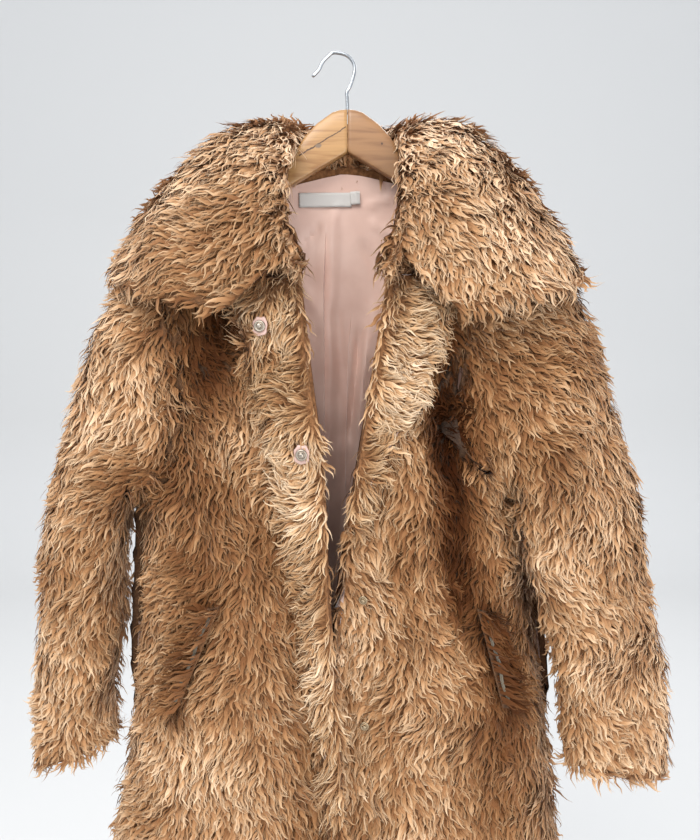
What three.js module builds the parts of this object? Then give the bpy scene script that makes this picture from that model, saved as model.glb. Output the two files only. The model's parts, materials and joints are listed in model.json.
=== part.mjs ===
// A faux fur coat hanging on a wooden hanger, in millimetres, +Z up.
// The origin is the inside top of the hanger's hook, +X is the viewer's right, -Y the coat's front.
// Every cloth piece is a wall: its outer points are worked out from the sizes below, and its inner
// points lie one wall thickness inside them. The fur's pile is part of the wall.
import * as THREE from 'three';
import { mergeVertices } from 'three/addons/utils/BufferGeometryUtils.js';

// Driving sizes
const CENTRE_X = 14;
const FUR_WALL = 16;
const SEAM_GAP = 0.6;
const REST_GAP = 0.8;
const STRIP_GAP = 1.1;
const HEM_Z = -1040;
const ARMPIT_Z = -460;
const SHOULDER_REACH = 222;
const NECK_REACH = 76;
const ROWS_BELOW = 13;
const ROWS_ABOVE = 10;
const FRONT_COLUMNS = 14;
const BACK_COLUMNS = 24;
const SLEEVE_RINGS = 17;
const SIDE_POWER = 2.6;
const LINING_CROWDING = 1.6;
const SIDE_CROWDING = 0.55;
const SHOULDER_LEAN = 0.45;
const RAY_START_Y = -500;

// Depths below the ridge over which the sides round off and the folds begin
const SIDE_TURN = { from: 60, to: 250 };
const FOLD_DROP = { from: 20, to: 90 };
const FOLD_FADE = { in: 0.25, out: 0.85 };

// Half outline of the body seen from the front, by height
const BODY_SIDES = [
  { z: -1040, left: -288, right: 286 },
  { z: -894, left: -272, right: 271 },
  { z: -750, left: -244, right: 252 },
  { z: -600, left: -226, right: 232 },
  { z: -460, left: -217, right: 214 },
  { z: -330, left: -216, right: 224 },
  { z: -150, left: -215, right: 242 },
];

// The top ridge of the shoulders, by distance from the middle of the neck
const SHOULDER_RIDGE = [
  { reach: 0, z: -66 },
  { reach: 50, z: -77 },
  { reach: 76, z: -86 },
  { reach: 110, z: -99 },
  { reach: 151, z: -118 },
  { reach: 185, z: -140 },
  { reach: 206, z: -165 },
  { reach: 222, z: -192 },
  { reach: 240, z: -220 },
];

// How far front and back stand off the hanger's plane, by drop below the ridge
const BODY_DEPTH = [
  { drop: 0, front: 0, back: 0 },
  { drop: 4, front: 15, back: 14 },
  { drop: 12, front: 26, back: 25 },
  { drop: 30, front: 34, back: 32 },
  { drop: 60, front: 42, back: 38 },
  { drop: 130, front: 60, back: 45 },
  { drop: 200, front: 76, back: 53 },
  { drop: 300, front: 86, back: 60 },
  { drop: 500, front: 88, back: 62 },
  { drop: 960, front: 92, back: 68 },
];

// The edge of each front at the opening, by height
const LEFT_OPENING = [
  { z: -1040, x: 14 },
  { z: -787, x: 10 },
  { z: -687, x: 7 },
  { z: -614, x: 0 },
  { z: -550, x: -4 },
  { z: -470, x: -7 },
  { z: -405, x: -11 },
  { z: -348, x: -20 },
  { z: -305, x: -25 },
  { z: -262, x: -30 },
  { z: -205, x: -37 },
];
const RIGHT_OPENING = [
  { z: -1040, x: -22 },
  { z: -787, x: -16 },
  { z: -687, x: -10 },
  { z: -582, x: -1 },
  { z: -531, x: 5 },
  { z: -463, x: 15 },
  { z: -382, x: 29 },
  { z: -327, x: 39 },
  { z: -273, x: 49 },
  { z: -205, x: 59 },
];

// Neckline from the top of each opening to the shoulder seam, then along the back of the neck
const FRONT_NECK_Z = -205;
const BACK_NECK_DIP = 30;

// Armholes: how far the seam bows in from a straight line, in front and at the back
const ARMHOLE = {
  left: { side: -1, frontBow: 48, backBow: 20 },
  right: { side: 1, frontBow: 98, backBow: 22 },
};
const ARMHOLE_SHAPE = 0.6;
const ARMHOLE_SKEW = 0.8;
const ARMHOLE_VALLEY = { left: 4, right: 13, halfWidth: 24, below: 40, above: 60 };

// The right front passes behind the left one by a wall and a gap
const UNDERLAP = { top: -500, full: -590, push: 17.5, from: 24, to: 62 };

// Soft folds, each a trough (push below 0) or a ridge, in the fronts and the back
const FRONT_FOLDS = [
  { topX: 124, bottomX: 133, topZ: -300, bottomZ: -610, halfWidth: 26, push: -11 },
  { topX: 88, bottomX: 82, topZ: -360, bottomZ: -640, halfWidth: 30, push: 7 },
  { topX: -112, bottomX: -132, topZ: -240, bottomZ: -400, halfWidth: 38, push: -8 },
  { topX: -175, bottomX: -196, topZ: -650, bottomZ: -1060, halfWidth: 34, push: 7 },
  { topX: -96, bottomX: -120, topZ: -700, bottomZ: -1060, halfWidth: 36, push: -8 },
  { topX: 60, bottomX: 66, topZ: -720, bottomZ: -1060, halfWidth: 34, push: 6 },
  { topX: 140, bottomX: 150, topZ: -690, bottomZ: -1060, halfWidth: 36, push: -9 },
  { topX: 214, bottomX: 226, topZ: -760, bottomZ: -1060, halfWidth: 28, push: 6 },
];
const BACK_FOLDS = [
  { topX: -120, bottomX: -150, topZ: -420, bottomZ: -1060, halfWidth: 42, push: 9 },
  { topX: -40, bottomX: -62, topZ: -560, bottomZ: -1060, halfWidth: 40, push: -8 },
  { topX: 52, bottomX: 60, topZ: -500, bottomZ: -1060, halfWidth: 42, push: 8 },
  { topX: 132, bottomX: 150, topZ: -380, bottomZ: -1060, halfWidth: 40, push: -9 },
];

// Sleeve rings from the armhole to the cuff: the ring's outer point, its inner point, and how far
// it bulges in front of and behind the line between them
const LEFT_SLEEVE = [
  { outX: -208, outY: 0, outZ: -192, inX: -217, inY: -6, inZ: -460, front: 46, back: 42 },
  { outX: -224, outY: 0, outZ: -218, inX: -219, inY: -8, inZ: -472, front: 50, back: 46 },
  { outX: -252, outY: 0, outZ: -256, inX: -221, inY: -10, inZ: -486, front: 58, back: 50 },
  { outX: -287, outY: 0, outZ: -337, inX: -225, inY: -12, inZ: -512, front: 62, back: 50 },
  { outX: -317, outY: 0, outZ: -450, inX: -230, inY: -12, inZ: -560, front: 56, back: 48 },
  { outX: -337, outY: 0, outZ: -543, inX: -235, inY: -12, inZ: -610, front: 52, back: 46 },
  { outX: -347, outY: 0, outZ: -640, inX: -242, inY: -10, inZ: -662, front: 50, back: 44 },
  { outX: -354, outY: 0, outZ: -715, inX: -249, inY: -8, inZ: -712, front: 48, back: 42 },
  { outX: -357, outY: 0, outZ: -784, inX: -252, inY: -6, inZ: -752, front: 46, back: 40 },
];
const RIGHT_SLEEVE = [
  { outX: 236, outY: 0, outZ: -192, inX: 214, inY: -6, inZ: -460, front: 48, back: 42 },
  { outX: 250, outY: 0, outZ: -218, inX: 196, inY: -50, inZ: -456, front: 46, back: 42 },
  { outX: 274, outY: 0, outZ: -252, inX: 182, inY: -72, inZ: -460, front: 44, back: 36 },
  { outX: 300, outY: 0, outZ: -320, inX: 178, inY: -80, inZ: -472, front: 42, back: 30 },
  { outX: 328, outY: 0, outZ: -425, inX: 188, inY: -80, inZ: -508, front: 42, back: 28 },
  { outX: 350, outY: 0, outZ: -530, inX: 206, inY: -76, inZ: -560, front: 42, back: 28 },
  { outX: 370, outY: 0, outZ: -625, inX: 222, inY: -72, inZ: -624, front: 44, back: 28 },
  { outX: 384, outY: 0, outZ: -705, inX: 236, inY: -68, inZ: -690, front: 44, back: 30 },
  { outX: 388, outY: 0, outZ: -792, inX: 248, inY: -62, inZ: -754, front: 42, back: 32 },
];
const SLEEVE_BLEND = 0.3;
const SLEEVE_POWER = 2.3;
const SLEEVE_CLEAR = 7;
const CLEAR_FADE = { height: 70, start: 0.05, full: 0.07 };
const TILT_GAIN = 1.5;
const HELD_TURN = 0.9;
const HELD_STEPS = 3;
const CREASE_START = { from: 0.3, to: 0.45 };
const HELD_RINGS = 7;
const SEAM_STEP = 2;
const SEAM_WALL = 6;
const RING_CROWDING = 1.2;
const SLEEVE_CREASES = [
  { along: 0.42, turn: 0.12, width: 0.05, push: -5 },
  { along: 0.58, turn: 0.2, width: 0.05, push: 4 },
  { along: 0.72, turn: 0.3, width: 0.05, push: -4 },
];

// Collar stations along the neck: roll line, middle of the fall, outer edge
const COLLAR_STATIONS = [
  { rollX: -38, rollY: -88, rollZ: -203, midX: -68, midY: -96, midZ: -232,
    edgeX: -98, edgeY: -94, edgeZ: -262 },
  { rollX: -54, rollY: -80, rollZ: -166, midX: -98, midY: -96, midZ: -202,
    edgeX: -143, edgeY: -97, edgeZ: -256 },
  { rollX: -58, rollY: -62, rollZ: -126, midX: -118, midY: -84, midZ: -168,
    edgeX: -184, edgeY: -86, edgeZ: -246 },
  { rollX: -55, rollY: -22, rollZ: -72, midX: -135, midY: -50, midZ: -112,
    edgeX: -226, edgeY: -54, edgeZ: -232 },
  { rollX: -50, rollY: 6, rollZ: -58, midX: -142, midY: -4, midZ: -86,
    edgeX: -250, edgeY: 4, edgeZ: -212 },
  { rollX: -32, rollY: 44, rollZ: -48, midX: -104, midY: 60, midZ: -98,
    edgeX: -212, edgeY: 72, edgeZ: -206 },
  { rollX: -8, rollY: 60, rollZ: -42, midX: -48, midY: 82, midZ: -108,
    edgeX: -96, edgeY: 88, edgeZ: -204 },
  { rollX: 14, rollY: 64, rollZ: -40, midX: 14, midY: 86, midZ: -110,
    edgeX: 14, edgeY: 90, edgeZ: -204 },
  { rollX: 36, rollY: 60, rollZ: -42, midX: 76, midY: 82, midZ: -108,
    edgeX: 124, edgeY: 88, edgeZ: -204 },
  { rollX: 60, rollY: 44, rollZ: -47, midX: 136, midY: 62, midZ: -96,
    edgeX: 248, edgeY: 72, edgeZ: -206 },
  { rollX: 78, rollY: 6, rollZ: -57, midX: 172, midY: -4, midZ: -84,
    edgeX: 272, edgeY: 4, edgeZ: -214 },
  { rollX: 79, rollY: -22, rollZ: -72, midX: 165, midY: -50, midZ: -110,
    edgeX: 253, edgeY: -54, edgeZ: -234 },
  { rollX: 77, rollY: -62, rollZ: -126, midX: 144, midY: -84, midZ: -166,
    edgeX: 209, edgeY: -86, edgeZ: -247 },
  { rollX: 70, rollY: -80, rollZ: -166, midX: 122, midY: -96, midZ: -202,
    edgeX: 162, edgeY: -97, edgeZ: -254 },
  { rollX: 59, rollY: -88, rollZ: -203, midX: 90, midY: -96, midZ: -234,
    edgeX: 120, edgeY: -95, edgeZ: -264 },
];
const COLLAR_COLUMNS = 32;
const COLLAR_FALL_ROWS = 6;
const COLLAR_FALL = 15;
const COLLAR_STAND = 11;
const COLLAR_SEAT = 1.4;
const ROLL_RADIUS = 13;
const STAND_DROP = { front: 9, side: 3, back: 46 };

// Places along the collar, from its middle, between which the stand changes its height
const STAND_BACK = { half: 0.22, full: 0.6 };
const STAND_FRONT = { from: 0.24, to: 0.42 };
const ROLL_STEPS = [0.35, 0.75, 1];
const STAND_STEPS = [0.5, 1];

// The fur facing turned out along the left front, and the short lapel on the right one
const FACING_WALL = 9;
const FACING_WIDTH = [
  { z: -1040, width: 15 },
  { z: -781, width: 18 },
  { z: -672, width: 23 },
  { z: -587, width: 26 },
  { z: -506, width: 35 },
  { z: -457, width: 45 },
  { z: -402, width: 45 },
  { z: -352, width: 50 },
  { z: -305, width: 63 },
  { z: -272, width: 68 },
];
const LAPEL_WIDTH = [
  { z: -480, width: 9 },
  { z: -412, width: 27 },
  { z: -380, width: 40 },
  { z: -335, width: 50 },
  { z: -299, width: 60 },
  { z: -275, width: 62 },
];
const STRIP = { columns: 3, edge: 0.15, thin: 0.7 };
const FACING_START_Z = -226;
const FACING_END_Z = HEM_Z + 4;
const FACING_ROWS = 22;
const LAPEL_START_Z = -226;
const LAPEL_END_Z = -480;
const LAPEL_ROWS = 14;

// Lining of the back, with its pleat, and the blank label and tab sewn to it
const LINING_WALL = 1.5;
const LINING_TOP = 9;
const LINING_BELOW_RIDGE = 46;
const LINING_GAP = 2.6;
const SLOPED_WALL = 1.3;
const LINING_HEM_Z = -1020;
const PLEAT = {
  topX: -3, bottomX: -13, topZ: -148, bottomZ: -640, depth: 4.5,
  slope: 14, step: 0.5, fall: 2, start: 20, out: 0.8,
};
const LABEL = { x: -11, z: -140, width: 62, height: 17, tilt: 0.02 };
const TAB = { x: 28, z: -137.5, width: 12, height: 14, tilt: 0.08 };
const LABEL_WALL = 1;

// Slanted pocket welts, by their upper and lower ends, and the four snaps
const POCKET_WELTS = {
  pocket_left: { topX: -124, topZ: -566, bottomX: -172, bottomZ: -680 },
  pocket_right: { topX: 156, topZ: -572, bottomX: 186, bottomZ: -682 },
};
const WELT = { halfWidth: 8, wall: 5, base: 1, slant: 0.3, edge: 0.12, rows: 8, columns: 3 };
const SNAPS = [
  { name: 'snap_1', x: -70, z: -281, onFacing: true },
  { name: 'snap_2', x: -30, z: -404, onFacing: true },
  { name: 'snap_3', x: 30, z: -559, onFacing: false },
  { name: 'snap_4', x: 32, z: -699, onFacing: false },
];
const PATCH = { halfWidth: 10, halfHeight: 9, wall: 0.8 };
const PATCH_GRID = { rows: 3, columns: 4 };
const SNAP_SIDES = 16;
const SLOPE_SPAN = 5;
const SNAP_PROFILE = [
  { radius: 0, height: 0 },
  { radius: 5.2, height: 0 },
  { radius: 5.4, height: 0.9 },
  { radius: 4.4, height: 1.5 },
  { radius: 2.6, height: 1.4 },
  { radius: 2.1, height: 3.2 },
  { radius: 0, height: 3.6 },
];

// Wooden hanger: outline of one arm by distance from its middle joint
const HANGER_THICK = 13;
const HANGER_BEVEL = 2.5;
const HANGER_TOP = [
  { reach: 0, z: -52 },
  { reach: 16, z: -55 },
  { reach: 32, z: -66 },
  { reach: 45, z: -79 },
  { reach: 54, z: -93 },
  { reach: 72, z: -107 },
  { reach: 110, z: -125 },
  { reach: 150, z: -147 },
  { reach: 178, z: -163 },
  { reach: 186, z: -172 },
];
const HANGER_BOTTOM = [
  { reach: 180, z: -182 },
  { reach: 150, z: -172 },
  { reach: 110, z: -154 },
  { reach: 64, z: -130 },
  { reach: 30, z: -112 },
  { reach: 0, z: -96 },
];
const HOOK_WIRE = 3.8;
const HOOK_SIDES = 8;
const HOOK_STEPS = 36;
const HOOK_PATH = [
  { x: 14, z: -51.5 },
  { x: 13.6, z: -34 },
  { x: 17, z: -28 },
  { x: 21.3, z: -14 },
  { x: 20, z: -4.5 },
  { x: 12.5, z: 2.4 },
  { x: 0, z: 5 },
  { x: -6, z: 1.5 },
  { x: -12, z: -4.5 },
  { x: -16, z: -12 },
  { x: -23, z: -19 },
];

const COLOURS = {
  fur: 0xc4976a,
  facing: 0xcfa67c,
  lining: 0xb39188,
  label: 0xe6ddd0,
  wood: 0xc08a4e,
  metal: 0xb8bcc2,
};

const { clamp, lerp, smoothstep } = THREE.MathUtils;

// A smooth curve through the rows of a table: the value of one column at a place in another
function readTable(rows, byColumn, column, at) {
  const rising = rows[0][byColumn] < rows[rows.length - 1][byColumn];
  const sorted = rising ? rows : [...rows].reverse();
  const last = sorted.length - 1;
  if (at <= sorted[0][byColumn]) {
    return sorted[0][column];
  }
  if (at >= sorted[last][byColumn]) {
    return sorted[last][column];
  }
  let k = 0;
  while (at > sorted[k + 1][byColumn]) {
    k += 1;
  }
  const slope = (i) => {
    const before = sorted[Math.max(i - 1, 0)];
    const after = sorted[Math.min(i + 1, last)];
    return (after[column] - before[column]) / (after[byColumn] - before[byColumn]);
  };
  const from = sorted[k];
  const to = sorted[k + 1];
  const span = to[byColumn] - from[byColumn];
  const t = (at - from[byColumn]) / span;
  const bend = (a, b, ma, mb) =>
    (2 * t ** 3 - 3 * t ** 2 + 1) * a + (t ** 3 - 2 * t ** 2 + t) * ma
    + (3 * t ** 2 - 2 * t ** 3) * b + (t ** 3 - t ** 2) * mb;
  return bend(from[column], to[column], slope(k) * span, slope(k + 1) * span);
}

// The same for a table whose rows are evenly spaced from 0 to 1
function readRings(rows, column, along) {
  const place = clamp(along, 0, 1) * (rows.length - 1);
  const k = Math.min(Math.floor(place), rows.length - 2);
  const t = place - k;
  const at = (i) => rows[clamp(i, 0, rows.length - 1)][column];
  const [a, b, c, d] = [at(k - 1), at(k), at(k + 1), at(k + 2)];
  const bow = 2 * a - 5 * b + 4 * c - d;
  const swing = 3 * b - a - 3 * c + d;
  return 0.5 * (2 * b + (c - a) * t + bow * t ** 2 + swing * t ** 3);
}

// Outward normals of a grid of points, from its neighbours in both directions
function gridNormals(grid, wraps) {
  const rows = grid.length;
  const columns = grid[0].length;
  return grid.map((row, j) => row.map((point, i) => {
    const before = wraps ? row[(i + columns - 1) % columns] : row[Math.max(i - 1, 0)];
    const after = wraps ? row[(i + 1) % columns] : row[Math.min(i + 1, columns - 1)];
    const below = grid[Math.max(j - 1, 0)][i];
    const above = grid[Math.min(j + 1, rows - 1)][i];
    const across = new THREE.Vector3().subVectors(after, before);
    const along = new THREE.Vector3().subVectors(above, below);
    return across.cross(along).normalize();
  }));
}

// A closed wall from a grid of outer points and the grid of inner points behind them
function wallGeometry(outer, inner, wraps) {
  const rows = outer.length;
  const columns = outer[0].length;
  const positions = [...outer.flat(), ...inner.flat()].flatMap((p) => [p.x, p.y, p.z]);
  const outside = (j, i) => j * columns + (i % columns);
  const inside = (j, i) => rows * columns + outside(j, i);
  const faces = [];
  const quad = (a, b, c, d) => faces.push(a, b, c, a, c, d);
  const spans = wraps ? columns : columns - 1;
  for (let j = 0; j < rows - 1; j += 1) {
    for (let i = 0; i < spans; i += 1) {
      quad(outside(j, i), outside(j, i + 1), outside(j + 1, i + 1), outside(j + 1, i));
      quad(inside(j, i), inside(j + 1, i), inside(j + 1, i + 1), inside(j, i + 1));
    }
  }
  for (let i = 0; i < spans; i += 1) {
    const top = rows - 1;
    quad(outside(0, i + 1), outside(0, i), inside(0, i), inside(0, i + 1));
    quad(outside(top, i), outside(top, i + 1), inside(top, i + 1), inside(top, i));
  }
  if (!wraps) {
    const end = columns - 1;
    for (let j = 0; j < rows - 1; j += 1) {
      quad(outside(j, 0), outside(j + 1, 0), inside(j + 1, 0), inside(j, 0));
      quad(outside(j + 1, end), outside(j, end), inside(j, end), inside(j + 1, end));
    }
  }
  const geometry = new THREE.BufferGeometry();
  geometry.setAttribute('position', new THREE.Float32BufferAttribute(positions, 3));
  geometry.setIndex(faces);
  return geometry;
}

// A wall of one thickness behind a grid; inward(j, i, normal) may turn the thickness at an edge,
// and hold(j, i, point) may keep an inner point on its own side of a seam
function cloth(grid, thickness, { wraps = false, inward = null, hold = null } = {}) {
  const normals = gridNormals(grid, wraps);
  const inner = grid.map((row, j) => row.map((point, i) => {
    const behind = normals[j][i].clone().negate();
    const turned = inward ? inward(j, i, behind) : behind;
    const depth = typeof thickness === 'function' ? thickness(j, i) : thickness;
    const inside = point.clone().addScaledVector(turned.normalize(), depth);
    return hold ? hold(j, i, inside) : inside;
  }));
  return wallGeometry(grid, inner, wraps);
}

function rows(count, make) {
  return Array.from({ length: count + 1 }, (unused, j) => make(j));
}

const reachOf = (x) => Math.abs(x - CENTRE_X);
const ridgeZ = (x) => readTable(SHOULDER_RIDGE, 'reach', 'z', reachOf(x));

// How far a set of folds pushes the cloth out at a place
function foldPush(folds, x, z) {
  let push = 0;
  for (const fold of folds) {
    const down = clamp((fold.topZ - z) / (fold.topZ - fold.bottomZ), 0, 1);
    const middle = lerp(fold.topX, fold.bottomX, down);
    const runsOut = fold.bottomZ > HEM_Z ? smoothstep(down, FOLD_FADE.out, 1) : 0;
    const strength = smoothstep(down, 0, FOLD_FADE.in) * (1 - runsOut);
    push += fold.push * strength * Math.exp(-(((x - middle) / fold.halfWidth) ** 2));
  }
  return push;
}

// The body's outer surface: how far in front of or behind the hanger's plane it lies
function bodyDepth(face, x, z) {
  const drop = Math.max(ridgeZ(x) - z, 0);
  const sideways = readTable(BODY_SIDES, 'z', x < CENTRE_X ? 'left' : 'right', z);
  const share = clamp((x - CENTRE_X) / (sideways - CENTRE_X), 0, 1);
  const rounding = (1 - share ** SIDE_POWER) ** (1 / SIDE_POWER);
  const side = lerp(1, rounding, smoothstep(drop, SIDE_TURN.from, SIDE_TURN.to));
  const folds = face === 'front' ? FRONT_FOLDS : BACK_FOLDS;
  const valley = face === 'front' ? armholeValley(x, z) : 0;
  const push = (foldPush(folds, x, z) - valley) * smoothstep(drop, FOLD_DROP.from, FOLD_DROP.to);
  return (readTable(BODY_DEPTH, 'drop', face, drop) + push) * side;
}

// The pile parts along each front armhole seam, so the cloth sinks there
function armholeValley(x, z) {
  const side = x < CENTRE_X ? 'left' : 'right';
  const seam = armholeX(side, 'frontBow', armholeShare(z));
  const fade = smoothstep(z, ARMPIT_Z - ARMHOLE_VALLEY.below, ARMPIT_Z + ARMHOLE_VALLEY.above);
  return ARMHOLE_VALLEY[side] * fade * Math.exp(-(((x - seam) / ARMHOLE_VALLEY.halfWidth) ** 2));
}

const shoulderZ = ridgeZ(CENTRE_X + SHOULDER_REACH);
const armholeShare = (z) => clamp((z - ARMPIT_Z) / (shoulderZ - ARMPIT_Z), 0, 1);

// Armhole seam from the armpit (0) to the shoulder point (1)
function armholeX(side, bow, up) {
  const armhole = ARMHOLE[side];
  const armpit = readTable(BODY_SIDES, 'z', side, ARMPIT_Z);
  const shoulder = CENTRE_X + armhole.side * SHOULDER_REACH;
  const swell = Math.max(Math.sin(Math.PI * clamp(up, 0, 1) ** ARMHOLE_SKEW), 0);
  const inwards = armhole[bow] * swell ** ARMHOLE_SHAPE;
  return lerp(armpit, shoulder, up) - armhole.side * inwards;
}

function armholePoint(side, face, up) {
  const bow = face === 'front' ? 'frontBow' : 'backBow';
  const x = armholeX(side, bow, up);
  const z = lerp(ARMPIT_Z, shoulderZ, up);
  const sign = face === 'front' ? -1 : 1;
  const y = up === 0 || up === 1 ? 0 : sign * bodyDepth(face, x, z);
  return new THREE.Vector3(x, y, z);
}

// The front's opening edge up to the neckline, and its neck point on the shoulder seam
function openingX(side, z) {
  const table = side === 'left' ? LEFT_OPENING : RIGHT_OPENING;
  const neck = CENTRE_X + ARMHOLE[side].side * NECK_REACH;
  const up = clamp((z - FRONT_NECK_Z) / (ridgeZ(neck) - FRONT_NECK_Z), 0, 1);
  return lerp(readTable(table, 'z', 'x', z), neck, 1 - (1 - up) ** 3);
}

// The right front sinks one wall behind the left one where they overlap
function underlap(x, z) {
  const low = 1 - smoothstep(z, UNDERLAP.full, UNDERLAP.top);
  return UNDERLAP.push * low * (1 - smoothstep(x, UNDERLAP.from, UNDERLAP.to));
}

function frontPoint(side, x, z) {
  const back = side === 'right' ? underlap(x, z) : 0;
  return new THREE.Vector3(x, -bodyDepth('front', x, z) + back, z);
}

const rowHeight = (j) => lerp(HEM_Z, ARMPIT_Z, j / ROWS_BELOW);

// Rows crowd towards the armpit and the shoulder ridge, where the cloth turns sharply
const rowUp = (k) => smoothstep(k / ROWS_ABOVE, 0, 1);

// Spreads the columns so that they crowd where the cloth turns round the side
const roundTheSide = (share) => lerp(share, Math.sin((share * Math.PI) / 2), SIDE_CROWDING);

// One front panel, from its opening edge (share 0) to its side seam or armhole (share 1)
function frontGrid(side) {
  const total = ROWS_BELOW + ROWS_ABOVE;
  const outer = ARMHOLE[side].side;
  const grid = rows(total, (j) => rows(FRONT_COLUMNS, (i) => {
    const share = i / FRONT_COLUMNS;
    if (j <= ROWS_BELOW) {
      const z = rowHeight(j);
      const sideX = readTable(BODY_SIDES, 'z', side, z);
      const x = lerp(openingX(side, z), sideX, roundTheSide(share));
      const point = frontPoint(side, x, z);
      return i === FRONT_COLUMNS ? new THREE.Vector3(sideX, -SEAM_GAP / 2, z) : point;
    }
    const up = rowUp(j - ROWS_BELOW);
    const seam = armholePoint(side, 'front', up);
    const neckZ = lerp(ARMPIT_Z, ridgeZ(CENTRE_X + outer * NECK_REACH), up);
    const edgeX = openingX(side, neckZ);
    const x = lerp(edgeX, seam.x, lerp(roundTheSide(share), share, up));
    const topZ = ridgeZ(x);
    const z = lerp(ARMPIT_Z, topZ, up);
    const y = j === total ? -SEAM_GAP / 2 : -bodyDepth('front', x, z);
    const point = new THREE.Vector3(x, y, z);
    return i === FRONT_COLUMNS ? seam.setX(seam.x - outer * SEAM_GAP / 2) : point;
  }));
  return side === 'left' ? grid.map((row) => row.reverse()) : grid;
}

// Thickness at a front's edges: straight down at the shoulder, straight in at the side seam, and
// never across the armhole seam
function frontInward(side) {
  const outer = ARMHOLE[side].side;
  const seamColumn = side === 'left' ? 0 : FRONT_COLUMNS;
  return (j, i, behind) => {
    if (j === ROWS_BELOW + ROWS_ABOVE) {
      return new THREE.Vector3(-outer * SHOULDER_LEAN, 0, -1);
    }
    if (i === seamColumn && j <= ROWS_BELOW) {
      return new THREE.Vector3(-outer, 0, 0);
    }
    if (i === seamColumn && behind.x * outer > 0) {
      return behind.setX(0);
    }
    return behind;
  };
}

function front(side) {
  return cloth(frontGrid(side), FUR_WALL, { inward: frontInward(side) });
}

// The back's neckline dips between the two neck points
function backTopZ(x) {
  const share = clamp(reachOf(x) / NECK_REACH, 0, 1);
  return ridgeZ(x) - BACK_NECK_DIP * Math.sqrt(1 - share ** 2);
}

function backGrid() {
  const total = ROWS_BELOW + ROWS_ABOVE;
  return rows(total, (j) => rows(BACK_COLUMNS, (i) => {
    const share = (i / BACK_COLUMNS) * 2 - 1;
    const side = share < 0 ? 'right' : 'left';
    const outer = ARMHOLE[side].side;
    const z0 = j <= ROWS_BELOW ? rowHeight(j) : ARMPIT_Z;
    const up = rowUp(Math.max(j - ROWS_BELOW, 0));
    const seam = armholePoint(side, 'back', up);
    const sideX = j <= ROWS_BELOW ? readTable(BODY_SIDES, 'z', side, z0) : seam.x;
    const spread = lerp(roundTheSide(Math.abs(share)), Math.abs(share), up);
    const x = lerp(CENTRE_X, sideX, spread);
    const atEdge = Math.abs(share) === 1;
    if (atEdge) {
      const y = j <= ROWS_BELOW ? SEAM_GAP / 2 : seam.y + (up === 1 ? SEAM_GAP / 2 : 0);
      const apart = j > ROWS_BELOW ? (outer * SEAM_GAP) / 2 : 0;
      return new THREE.Vector3(sideX - apart, y, j <= ROWS_BELOW ? z0 : seam.z);
    }
    const z = lerp(z0, backTopZ(x), up);
    const onShoulder = j === total && reachOf(x) >= NECK_REACH;
    const y = onShoulder ? SEAM_GAP / 2 : bodyDepth('back', x, z);
    return new THREE.Vector3(x, y, z);
  }));
}

function back() {
  const grid = backGrid();
  const top = ROWS_BELOW + ROWS_ABOVE;
  return cloth(grid, FUR_WALL, {
    inward: (j, i, behind) => {
      const outer = grid[j][i].x < CENTRE_X ? -1 : 1;
      const atSeam = i === 0 || i === BACK_COLUMNS;
      if (j === top && reachOf(grid[j][i].x) >= NECK_REACH) {
        return new THREE.Vector3(-outer * SHOULDER_LEAN, 0, -1);
      }
      if (atSeam && j <= ROWS_BELOW) {
        return new THREE.Vector3(-outer, 0, 0);
      }
      return atSeam && behind.x * outer > 0 ? behind.setX(0) : behind;
    },
  });
}

// The armhole as a closed loop, in step with a sleeve ring: 0 at the shoulder, then the front
function armholeLoop(side, k) {
  const face = k <= ROWS_ABOVE ? 'front' : 'back';
  const up = rowUp(face === 'front' ? ROWS_ABOVE - k : k - ROWS_ABOVE);
  const point = armholePoint(side, face, up);
  const towardsMiddle = -Math.cos((Math.PI * k) / ROWS_ABOVE);
  point.setX(point.x + ARMHOLE[side].side * SEAM_GAP);
  return point.setZ(point.z + SEAM_GAP * towardsMiddle);
}

// A point of a sleeve, along it from armhole to cuff and around it by its place in the ring
function sleevePoint(side, along, k) {
  const table = side === 'left' ? LEFT_SLEEVE : RIGHT_SLEEVE;
  const read = (column) => readRings(table, column, along);
  const outPoint = new THREE.Vector3(read('outX'), read('outY'), read('outZ'));
  const inPoint = new THREE.Vector3(read('inX'), read('inY'), read('inZ'));
  const middle = outPoint.clone().lerp(inPoint, 0.5);
  const half = outPoint.clone().sub(middle);
  const across = new THREE.Vector3(half.y, -half.x, 0);
  if (across.y > 0) {
    across.negate();
  }
  across.setZ(0).normalize();
  const tilt = 1 - Math.abs(half.z) / half.length();
  const forward = new THREE.Vector3(0, -1, 0).lerp(across, clamp(tilt * TILT_GAIN, 0, 1)).normalize();
  const angle = (Math.PI * k) / ROWS_ABOVE;
  const round = (value) => Math.sign(value) * Math.abs(value) ** (2 / SLEEVE_POWER);
  const depth = angle <= Math.PI ? read('front') : read('back');
  const ring = middle.clone()
    .addScaledVector(half, round(Math.cos(angle)))
    .addScaledVector(forward, depth * round(Math.sin(angle)));
  const loop = armholeLoop(side, k % (2 * ROWS_ABOVE));
  return loop.lerp(ring, smoothstep(along, 0, SLEEVE_BLEND));
}

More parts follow.
